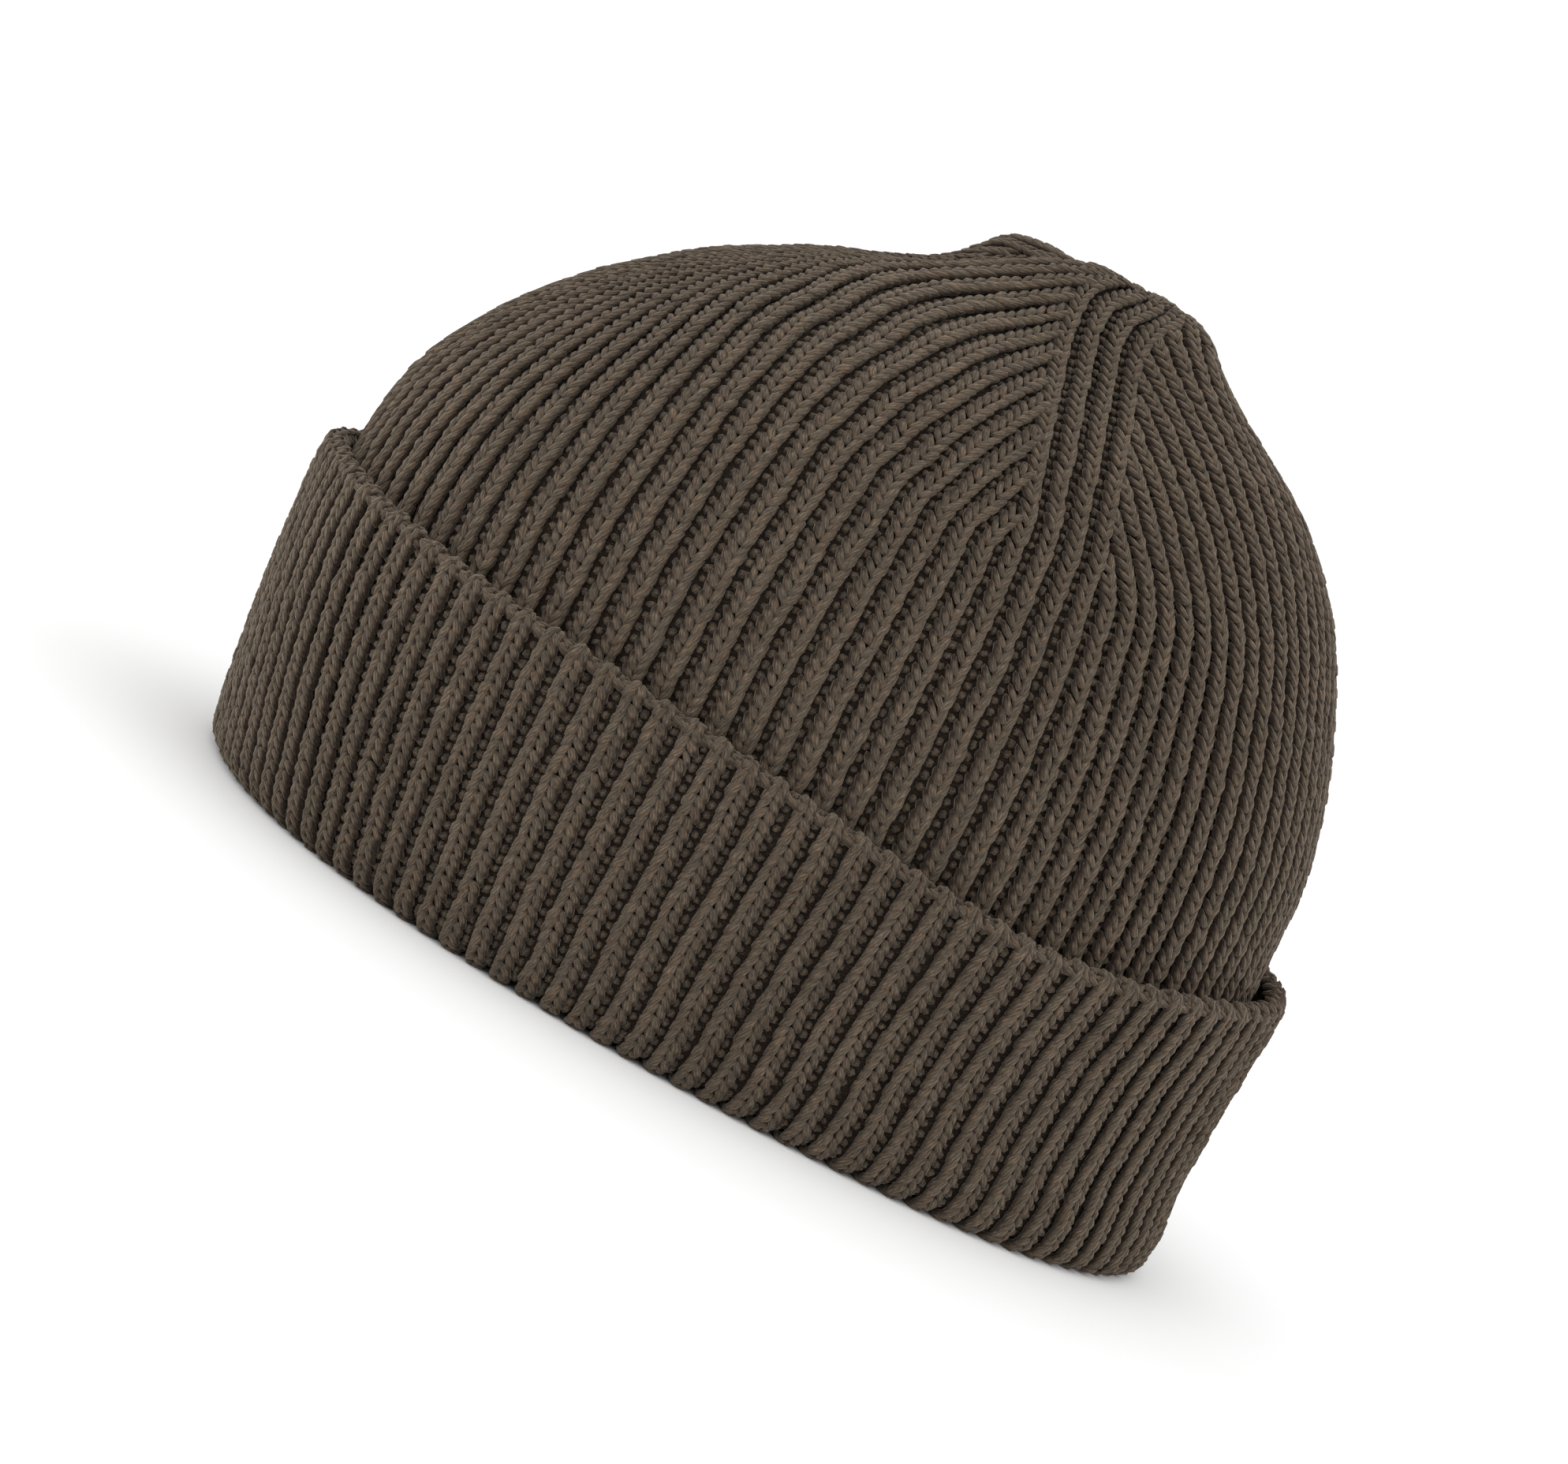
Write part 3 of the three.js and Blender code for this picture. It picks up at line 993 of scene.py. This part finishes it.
@dataclass(frozen=True)
class WoolFinish:
    """Heathered wool yarn: its shades, its fibres, its soft bloom and the shade painted into its
    hollows.
    """

    name: str
    warm: Colour = (0.109, 0.0765, 0.0510, 1.0)
    cool: Colour = (0.081, 0.0665, 0.0495, 1.0)
    shadow: Colour = (0.017, 0.0100, 0.0065, 1.0)
    fleck: Colour = (0.22, 0.16, 0.11, 1.0)
    # Below 1, a darker copy of the wool: painted shade for what lies deep in the knit.
    shade: float = 1.0
    sheen: float = 0.27
    sheen_roughness: float = 0.45
    fibre_depth: float = 0.00022

    def material(self) -> bpy.types.Material:
        """Builds the finish from its nodes.

        Returns:
            The material.
        """
        bench = NodeBench(self.name)
        yarn = bench.add("UVMap", uv_map="yarn").outputs["UV"]
        place = bench.add("TexCoord").outputs["Object"]
        tone = bench.add("Attribute", attribute_name="tone").outputs["Fac"]
        crest = bench.add("Attribute", attribute_name="crest").outputs["Fac"]
        plied = bench.stretched(yarn, turn=0.22, scale=(0.62, 0.5))
        twist = bench.stretched(yarn, turn=0.16, scale=(6.5, 0.75))
        thread = bench.stretched(yarn, turn=-0.3, scale=(9.0, 0.8))
        plies = {"Scale": 1.0, "Distortion": 3.0, "Detail": 2.0, "Detail Scale": 1.2}
        strand = bench.add("TexWave", {"Vector": plied, **plies}).outputs["Fac"]
        streak = bench.noise(twist, scale=1.0, detail=4.0, roughness=0.72)
        stray = bench.noise(thread, scale=1.0, detail=2.0)
        cloud = bench.noise(place, scale=420.0, detail=3.0, roughness=0.6)
        patch = bench.noise(place, scale=60.0, detail=2.0)
        # The tone ramp: random tone for the stitches from 0.3 up, and painted shade for the deep purl
        # beads below it.
        tone_and_shade = ((0.0, 0.60), (0.29, 0.80), (0.3, 0.88), (1.0, 1.12))
        body = bench.mix(bench.ramp(cloud, ((0.36, 0.0), (0.64, 1.0))), self.cool, self.warm)
        for factor in (
            bench.ramp(streak, ((0.36, 0.36), (0.50, 0.92), (0.66, 1.80))),
            bench.ramp(strand, ((0.0, 0.74), (1.0, 1.16))),
            bench.ramp(patch, ((0.3, 0.90), (0.7, 1.10))),
            bench.ramp(tone, tuple((stop, grey * self.shade) for stop, grey in tone_and_shade)),
        ):
            body = bench.mix(1.0, body, factor, "MULTIPLY")
        # Paint shade where the crest is low: leg undersides and ends, rib flanks and the walls.
        standing = bench.ramp(crest, ((0.38, 0.0), (0.68, 0.76), (0.92, 1.0)))
        body = bench.mix(standing, self.shadow, body)
        sparse = bench.ramp(stray, ((0.60, 0.0), (0.70, 0.50)))
        body = bench.mix(sparse, body, self.fleck)
        height = bench.mix(0.5, streak, strand)
        relief = bench.add(
            "Bump", {"Strength": 0.8, "Distance": self.fibre_depth, "Height": height}
        )
        shader = bench.add(
            "BsdfPrincipled",
            {
                "Base Color": body,
                "Roughness": 0.92,
                "Specular IOR Level": 0.18,
                "Sheen Weight": self.sheen,
                "Sheen Roughness": self.sheen_roughness,
                "Sheen Tint": (0.80, 0.68, 0.55, 1.0),
                "Normal": relief.outputs["Normal"],
            },
        )
        return bench.finish(shader)


@dataclass(frozen=True)
class FloorFinish:
    """A plain pale studio floor."""

    name: str = "studio_floor"
    pale: Colour = (0.90, 0.90, 0.90, 1.0)

    def material(self) -> bpy.types.Material:
        """Builds the finish from its nodes.

        Returns:
            The material.
        """
        bench = NodeBench(self.name)
        place = bench.add("TexCoord").outputs["Object"]
        grain = bench.noise(place, scale=9.0, detail=2.0)
        worn = bench.ramp(grain, ((0.0, 0.985), (1.0, 1.0)))
        body = bench.mix(1.0, self.pale, worn, "MULTIPLY")
        return bench.finish(bench.add("BsdfPrincipled", {"Base Color": body, "Roughness": 0.8}))


@dataclass
class Crown:
    """The domed wall of rib knit, with its four panels and four dart bands."""

    surface: KnitSurface
    heights: np.ndarray
    panel_ribs: np.ndarray
    waver: Waver
    row: float = 2.4
    inner_row: float = 4.0
    inner_pitch: float = 0.97
    level_step: float = 0.8
    least_reach: float = 0.5
    hidden_under_cuff: float = 3.0
    above_ledge: float = 1.0
    smallest_pitch: float = 1.3
    sweep_middle: float = 0.08
    sweep_near: float = 0.085
    sweep_far: float = 0.16
    dent_middle: float = -0.035
    dent_spread: float = 0.045
    lobe_middle: float = -0.12
    lobe_spread: float = 0.075
    band_breadth: float = 1.12
    tucked: float = 0.35
    wall_columns: int = 100
    wall_step: float = 4.8
    wall_outer: float = 2.3
    wall_inner: float = 2.7

    @staticmethod
    def drafted(waver: Waver) -> "Crown":
        """Drafts the crown's face from its sections.

        Args:
            waver: How uneven the knit is.

        Returns:
            The crown, ready to knit.
        """
        drawn_at = columns(CROWN_SECTIONS)
        steps = np.hypot(np.diff(drawn_at["height"]), np.diff(mean_reach(drawn_at)))
        walk = np.concatenate(([0.0], np.cumsum(steps)))
        walked = np.linspace(0.0, walk[-1], int(walk[-1] / Crown.level_step))
        level = {name: smooth_curve(walk, values, walked) for name, values in drawn_at.items()}
        reach = mean_reach(level)
        slope = unit(np.stack((np.gradient(level["height"]), -np.gradient(reach)), axis=1))
        shares = np.arange(COLUMNS) / COLUMNS
        swept = bump(shares, Crown.sweep_middle, Crown.sweep_far, Crown.sweep_near)
        grid = np.empty((len(walked), COLUMNS, 3))
        for index in range(len(walked)):
            here = {name: values[index] for name, values in level.items()}
            girth = 2 * math.pi * max(reach[index], Crown.least_reach)
            slid = shares + here["slide"] / girth * np.sin(2 * math.pi * shares)
            slid = slid - here["sweep"] / girth * swept
            ring = oval_ring(here["front"], here["back"], here["half_breadth"], slid)
            ahead = np.roll(ring, -1, axis=0) - np.roll(ring, 1, axis=0)
            outward = unit(np.stack((ahead[:, 1], -ahead[:, 0]), axis=1))
            dent = bump(slid, Crown.dent_middle, Crown.dent_spread, Crown.dent_spread)
            lobe = bump(slid, Crown.lobe_middle, Crown.lobe_spread, Crown.lobe_spread)
            drawn = here["pucker"] * (1 + np.cos(QUARTERS * 2 * math.pi * shares)) / 2
            drawn = drawn + here["dent"] * dent - here["lobe"] * lobe
            grid[index, :, :2] = ring - outward * (slope[index, 0] * drawn)[:, None]
            grid[index, :, 2] = here["height"] - slope[index, 1] * drawn
        surface = KnitSurface(grid)
        surface.outward[-1] = (0.0, 0.0, 1.0)
        return Crown(surface, level["height"], level["panel_ribs"], waver)

    def rib_lines(self, between: bool) -> list[tuple[np.ndarray, np.ndarray]]:
        """Traces each rib, or each valley between two, from the lower edge to where it ends.

        Args:
            between: Whether to trace the valleys instead.

        Returns:
            Each line's levels and shares.
        """
        lines = []
        levels = np.arange(len(self.heights), dtype=float)
        quarter_ribs = self.panel_ribs + DART_RIBS * self.band_breadth
        panel, dart = (PANEL_RIBS - 1, DART_RIBS + 1) if between else (PANEL_RIBS, DART_RIBS)
        for quarter in range(QUARTERS):
            for rib in centred(panel):
                there = abs(rib) <= self.panel_ribs / 2 + (0.0 if between else self.tucked)
                shares = (quarter + 0.5 + rib / quarter_ribs) / QUARTERS
                lines.append((levels[there], shares[there]))
            for rib in centred(dart):
                shares = (quarter + rib * self.band_breadth / quarter_ribs) / QUARTERS
                lines.append((levels, shares))
        return lines

    def courses(
        self, between: bool, row: float, whole: bool, random: np.random.Generator
    ) -> Courses:
        """Lays the stitches of every rib or valley.

        Args:
            between: Whether to follow the valleys.
            row: The spacing of the rows, in mm.
            whole: Whether to start at the lower edge, and not where the cuff ends.
            random: The source of the unevenness.

        Returns:
            The stitches.
        """
        start = 0.5 if between else 0.0
        lots = []
        for levels, shares in self.rib_lines(between):
            if whole:
                lowest = LEDGE + self.above_ledge
            else:
                lowest = Cuff.edge(shares) - self.hidden_under_cuff
            seen = self.heights[levels.astype(int)] >= lowest
            levels, shares = levels[seen], shares[seen]
            ribs_round = QUARTERS * (self.panel_ribs[levels.astype(int)] + DART_RIBS)
            rib_line = (self.surface, levels, shares, ribs_round)
            lots.append(lay_rows(*rib_line, row, start, self.waver, random))
        courses = joined(lots)
        return courses.only(courses.pitch > self.smallest_pitch)

    def wall(self) -> bpy.types.Object:
        """Builds the plain wall that fills the knit behind its stitches.

        Returns:
            The wall.
        """
        count = int(len(self.heights) * self.level_step / self.wall_step)
        levels = np.linspace(0.0, len(self.heights) - 2.0, count)
        tip = self.surface.points[-1].mean(axis=0)
        outer, inner = (
            [self.surface.ring(level, self.wall_columns, depth) for level in levels]
            + [tip[None] - (0.0, 0.0, depth)]
            for depth in (self.wall_outer, self.wall_inner)
        )
        return ring_shell("crown_wall", inner[::-1] + outer, closed=False)

    def build(self, yarn: bpy.types.Material, shaded: bpy.types.Material) -> list[bpy.types.Object]:
        """Knits the crown.

        Args:
            yarn: The finish of the ribs.
            shaded: The wool painted darker with shade, for what lies deep between them.

        Returns:
            The crown's pieces.
        """
        random = np.random.default_rng(SEED)
        leg = FACE_GRAIN.template()
        bead = Bead().template()
        ribs = self.courses(False, self.row, False, random)
        valleys = self.courses(True, self.row, False, random)
        made = [dress(self.wall(), shaded, "crown")]
        for quarter, name in enumerate(PANEL_NAMES):
            heap = Heap("crown_stitches_" + name)
            Stitch().legs(heap, leg, ribs.part(quarter, QUARTERS), self.row, Nap.UP, random)
            Purl().bumps(heap, bead, valleys.part(quarter, QUARTERS), Nap.UP, random)
            made.append(heap.build(yarn, "crown", "crown_knit"))
        return made + self.lining(yarn, random)

    def lining(
        self, yarn: bpy.types.Material, random: np.random.Generator
    ) -> list[bpy.types.Object]:
        """Knits the crown's inner face, whose ribs lie behind the outer valleys.

        Args:
            yarn: The finish.
            random: The source of the unevenness.

        Returns:
            The inner face's pieces.
        """
        leg = LINING_GRAIN.template()
        seen = self.courses(True, self.inner_row, True, random)
        inner = replace(
            seen,
            point=seen.point - seen.out * CROWN_WALL,
            out=-seen.out,
            pitch=seen.pitch * self.inner_pitch,
        )
        made = []
        for half, name in enumerate(HALF_NAMES):
            heap = Heap("crown_inside_" + name)
            Stitch().legs(heap, leg, inner.part(half, 2), self.inner_row, Nap.UP, random)
            made.append(heap.build(yarn, "crown", "crown_knit"))
        return made


@dataclass
class Cuff:
    """The turned-up band: the rim's fold, the ribbed face and the rolled upper edge."""

    surface: KnitSurface
    side: KnitSurface
    waver: Waver
    row: float = 2.15
    fold_levels: int = 26
    fold_power: float = 0.86
    wall_levels: int = 60
    roll_levels: int = 18
    back_levels: int = 6
    back_reach: float = 6.0
    back_middle: float = 28.0
    side_top: float = 70.0
    side_step: float = 0.5
    stitch_levels: float = 100.0
    band_columns: int = 184
    band_depth: float = 2.3
    band_fold_step: int = 2
    band_wall_step: int = 4
    closing_height: float = 4.5
    closing_lift: float = 1.1
    binding_row: float = 2.9
    binding_level: float = 91.0
    binding_lift: float = -0.6
    binding_breadth: float = 4.6
    binding_jitter: float = 0.06
    lean_middle: float = 0.35
    lean_spread: float = 0.075
    lean_reach: float = 2.5
    lean_from: float = 0.6
    fan_height: float = 50.0
    fan_power: float = 1.5
    side_middle: float = 0.27
    side_spread: float = 0.12
    side_reach: float = 5.4
    front_spread: float = 0.08
    front_reach: float = 11.5

    @staticmethod
    def drafted(waver: Waver) -> "Cuff":
        """Drafts the cuff's face from its sections.

        Args:
            waver: How uneven the knit is.

        Returns:
            The cuff, ready to knit.
        """
        heights = np.arange(0.0, Cuff.side_top + Cuff.side_step, Cuff.side_step)
        drawn_at = columns(CUFF_SECTIONS)
        ovals = zip(
            *(
                smooth_curve(drawn_at["height"], drawn_at[name], heights)
                for name in ("front", "back", "half_breadth")
            )
        )
        shares = np.arange(COLUMNS) / COLUMNS
        side = np.empty((len(heights), COLUMNS, 3))
        for level, height, oval in zip(side, heights, ovals):
            level[:, :2] = oval_ring(*oval, shares)
            level[:, 2] = height
        face = KnitSurface(side)
        face.outward[..., 2] = 0.0
        face.outward = unit(face.outward)
        cuff = Cuff(face, face, waver)
        edge = Cuff.edge(shares)
        rings = []
        for inset, height in cuff.profile(edge):
            leant = shares + cuff.leaning(shares, height, edge)
            place = height / Cuff.side_step
            ring = face.place(place, leant) - face.facing(place, leant) * inset[:, None]
            ring[:, 2] = height
            rings.append(ring)
        cuff.surface = KnitSurface(np.array(rings))
        return cuff

    @staticmethod
    def edge(shares: np.ndarray) -> np.ndarray:
        """Reads the height of the upper edge.

        Args:
            shares: Shares of the way round.

        Returns:
            The edge's height at each share, in mm.
        """
        angles, heights = columns(CUFF_EDGE).values()
        angles = np.concatenate((angles[-2:] - 360.0, angles, angles[:2] + 360.0))
        heights = np.concatenate((heights[-2:], heights, heights[:2]))
        return smooth_curve(angles, heights, np.mod(shares, 1.0) * 360.0)

    def leaning(self, shares: np.ndarray, height: np.ndarray, edge: np.ndarray) -> np.ndarray:
        """Finds how far round the ribs lean where the band was turned up and pulled.

        Args:
            shares: The ribs' own shares of the way round.
            height: How high each point is, in mm.
            edge: The height of the upper edge there, in mm.

        Returns:
            The lean, in shares of the way round.
        """
        below = np.clip(1.0 - height / self.fan_height, 0.0, 1.0) ** self.fan_power
        front = bump(shares, 0.0, self.front_spread, self.front_spread)
        side = bump(shares, self.side_middle, self.side_spread, self.side_spread)
        drawn = self.front_reach * front - self.side_reach * side
        pulled = bump(shares, self.lean_middle, self.lean_spread, self.lean_spread)
        high = ease((height / edge - self.lean_from) / (1 - self.lean_from))
        return (drawn * below + self.lean_reach * pulled * high) / CUFF_GIRTH

    def profile(self, edge: np.ndarray) -> list[tuple[np.ndarray, np.ndarray]]:
        """Lists the band's way from inside the fold, under it, up the face and over the roll.

        Args:
            edge: The height of the upper edge at each column.

        Returns:
            The inset from the outer face and the height, for each level.
        """
        whole = np.ones_like(edge)
        top = edge - ROLL_RADIUS
        levels = []
        for turn in np.linspace(0.0, math.pi, self.fold_levels, endpoint=False):
            across = math.copysign(abs(math.cos(turn)) ** self.fold_power, math.cos(turn))
            down = math.sin(turn) ** self.fold_power
            levels.append((whole * FOLD_DEPTH / 2 * (1 + across), whole * FOLD_HEIGHT * (1 - down)))
        for share in np.linspace(0.0, 1.0, self.wall_levels, endpoint=False):
            levels.append((0 * whole, FOLD_HEIGHT + share * (top - FOLD_HEIGHT)))
        for turn in np.linspace(0.0, math.pi, self.roll_levels, endpoint=False):
            inset = whole * ROLL_RADIUS * (1 - math.cos(turn))
            levels.append((inset, top + ROLL_RADIUS * math.sin(turn)))
        for share in np.linspace(0.0, 1.0, self.back_levels):
            levels.append((whole * CUFF_WALL, top - share * self.back_reach))
        return levels

    def courses(self, half: float, random: np.random.Generator) -> Courses:
        """Lays the stitches of every rib, or with a half of 0.5 of every valley.

        Args:
            half: How far the lines lie from the ribs, in ribs.
            random: The source of the unevenness.

        Returns:
            The stitches.
        """
        levels = np.arange(0.0, self.stitch_levels, 1.0)
        ribs_round = np.full(len(levels), float(RIBS))
        lots = []
        for rib in range(RIBS):
            shares = np.full(len(levels), (rib + half) / RIBS)
            rib_line = (self.surface, levels, shares, ribs_round)
            lots.append(lay_rows(*rib_line, self.row, half, self.waver, random))
        return joined(lots)

    def closed_up(self, valleys: Courses) -> Courses:
        """Brings the valleys up to the ribs near the upper edge, where the knit was cast on.

        Args:
            valleys: The valleys' stitches.

        Returns:
            The same stitches, higher near the edge.
        """
        below = Cuff.edge(valleys.share) - valleys.point[:, 2]
        lift = self.closing_lift * ease(1.0 - below / self.closing_height)
        return replace(valleys, point=valleys.point + valleys.out * lift[:, None])

    def binding(self, random: np.random.Generator) -> Courses:
        """Lays the chain of stitches that runs round the upper edge.

        Args:
            random: The source of the unevenness.

        Returns:
            The chain's stitches.
        """
        count = round(CUFF_GIRTH / self.binding_row)
        shares = (np.arange(count) + random.normal(0.0, self.binding_jitter, count)) / count
        level = np.full(count, self.binding_level)
        nudge = 0.25 / count
        after, before = (self.surface.place(level, shares + way) for way in (nudge, -nudge))
        out = self.surface.facing(level, shares)
        point = self.surface.place(level, shares) + out * self.binding_lift
        return Courses(point, unit(after - before), out, np.full(count, self.binding_breadth), shares)

    def band(self) -> bpy.types.Object:
        """Builds the plain doubled band that fills the cuff behind its stitches.

        Returns:
            The band.
        """
        last = self.surface.levels - 1
        fold = np.arange(0, self.fold_levels, self.band_fold_step)
        wall = np.arange(self.fold_levels, last, self.band_wall_step)
        rings = [
            self.surface.ring(float(level), self.band_columns, self.band_depth)
            for level in (*fold, *wall, last)
        ]
        depth = CUFF_WALL - self.band_depth / 2
        back = [
            self.side.ring(height / self.side_step, self.band_columns, depth)
            for height in (self.back_middle, LEDGE)
        ]
        return ring_shell("cuff_band", rings + back, closed=True)

    def build(self, yarn: bpy.types.Material, shaded: bpy.types.Material) -> list[bpy.types.Object]:
        """Knits the cuff.

        Args:
            yarn: The finish of the ribs.
            shaded: The wool painted darker with shade, for what lies deep between them.

        Returns:
            The cuff's pieces.
        """
        random = np.random.default_rng(SEED + 1)
        leg = FACE_GRAIN.template()
        bead = Bead().template()
        ribs = self.courses(0.0, random)
        valleys = self.closed_up(self.courses(0.5, random))
        binding = self.binding(random)
        made = [dress(self.band(), shaded, "cuff")]
        for half, name in enumerate(HALF_NAMES):
            heap = Heap("cuff_stitches_" + name)
            Stitch().legs(heap, leg, ribs.part(half, 2), self.row, Nap.DOWN, random)
            Purl().bumps(heap, bead, valleys.part(half, 2), Nap.DOWN, random)
            Stitch().legs(heap, leg, binding.part(half, 2), self.binding_row, Nap.UP, random)
            made.append(heap.build(yarn, "cuff", "cuff_knit"))
        return made


@dataclass(frozen=True)
class SoftBox:
    """One large soft light: where it hangs, in metres, its width and its power."""

    name: str
    place: tuple[float, float, float]
    width: float
    watts: float


@dataclass(frozen=True)
class Studio:
    """The pale floor, the soft lights and the camera at the photograph's angle."""

    azimuth: float = 72.5
    elevation: float = 6.2
    roll: float = 31.2
    distance: float = 1.306
    target: tuple[float, float, float] = (0.0, -0.0013, 0.085)
    lens: float = 150.0
    sensor: float = 36.0
    off_right: float = 0.01695
    off_up: float = 0.02104
    nearest: float = 0.05
    farthest: float = 60.0
    floor_width: float = 24.0
    floor_cuts: int = 3
    sky: float = 1.2
    boxes: tuple[SoftBox, ...] = (
        SoftBox("top_light", (0.35, -0.15, 1.7), 1.3, 1.6),
        SoftBox("side_light", (1.3, -1.5, 1.0), 1.2, 9.5),
    )

    def camera(self) -> None:
        """Places the camera at the photograph's angle, turned to the cap and off its middle."""
        turn, rise, roll = (math.radians(a) for a in (self.azimuth, self.elevation, self.roll))
        target = Vector(self.target)
        back = Vector(
            (math.sin(turn) * math.cos(rise), -math.cos(turn) * math.cos(rise), math.sin(rise))
        )
        level_right = Vector((math.cos(turn), math.sin(turn), 0.0))
        level_up = back.cross(level_right)
        right = level_right * math.cos(roll) + level_up * math.sin(roll)
        up = level_up * math.cos(roll) - level_right * math.sin(roll)
        place = target + back * self.distance
        aim = target - right * self.off_right - up * self.off_up
        back = (place - aim).normalized()
        right = up.cross(back).normalized()
        up = back.cross(right)
        data = bpy.data.cameras.new("photo_camera")
        data.lens = self.lens
        data.sensor_width = self.sensor
        data.clip_start = self.nearest
        data.clip_end = self.farthest
        camera = bpy.data.objects.new("photo_camera", data)
        bpy.context.scene.collection.objects.link(camera)
        facing = Matrix((right, up, back)).transposed().to_4x4()
        camera.matrix_world = Matrix.Translation(place) @ facing
        bpy.context.scene.camera = camera

    def floor(self) -> None:
        """Lays the floor that the rim stands on."""
        bpy.ops.object.select_all(action="DESELECT")
        bpy.ops.mesh.primitive_plane_add(size=self.floor_width, location=(0, 0, 0))
        floor = bpy.context.object
        floor.name = "studio_floor"
        bpy.ops.object.mode_set(mode="EDIT")
        bpy.ops.mesh.subdivide(number_cuts=self.floor_cuts)
        bpy.ops.object.mode_set(mode="OBJECT")
        floor.data.materials.append(FloorFinish().material())

    def lights(self) -> None:
        """Hangs the soft boxes and lights the sky."""
        for box in self.boxes:
            data = bpy.data.lights.new(box.name, "AREA")
            data.shape = "SQUARE"
            data.size = box.width
            data.energy = box.watts
            light = bpy.data.objects.new(box.name, data)
            bpy.context.scene.collection.objects.link(light)
            light.location = box.place
            aim = Vector(self.target) - Vector(box.place)
            light.rotation_euler = aim.to_track_quat("-Z", "Y").to_euler()
        bpy.context.scene.view_settings.view_transform = "Standard"
        world = bpy.data.worlds.new("studio_sky")
        bpy.context.scene.world = world
        world.use_nodes = True
        sky = world.node_tree.nodes["Background"]
        sky.inputs["Color"].default_value = (1.0, 1.0, 1.0, 1.0)
        sky.inputs["Strength"].default_value = self.sky

    def build(self) -> None:
        """Sets the whole studio up."""
        self.camera()
        self.floor()
        self.lights()


def main() -> None:
    """Builds the studio, the crown and the cuff, and logs how many triangles each piece has."""
    logging.basicConfig(level=logging.INFO, format="%(name)s: %(message)s")
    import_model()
    Studio().build()
    yarn = WoolFinish("wool_yarn").material()
    # A darker copy of the wool paints shade on the walls and bands deep behind the stitches.
    shaded = WoolFinish("wool_painted_shade", shade=0.30, sheen=0.1).material()
    waver = Waver()
    pieces = Crown.drafted(waver).build(yarn, shaded) + Cuff.drafted(waver).build(yarn, shaded)
    total = 0
    for piece in pieces:
        faces = sum(len(face.vertices) - 2 for face in piece.data.polygons)
        total += faces
        LOG.info("%s: %d triangles", piece.name, faces)
    LOG.info("%d pieces, %d triangles in all", len(pieces), total)


if __name__ == "__main__":
    main()
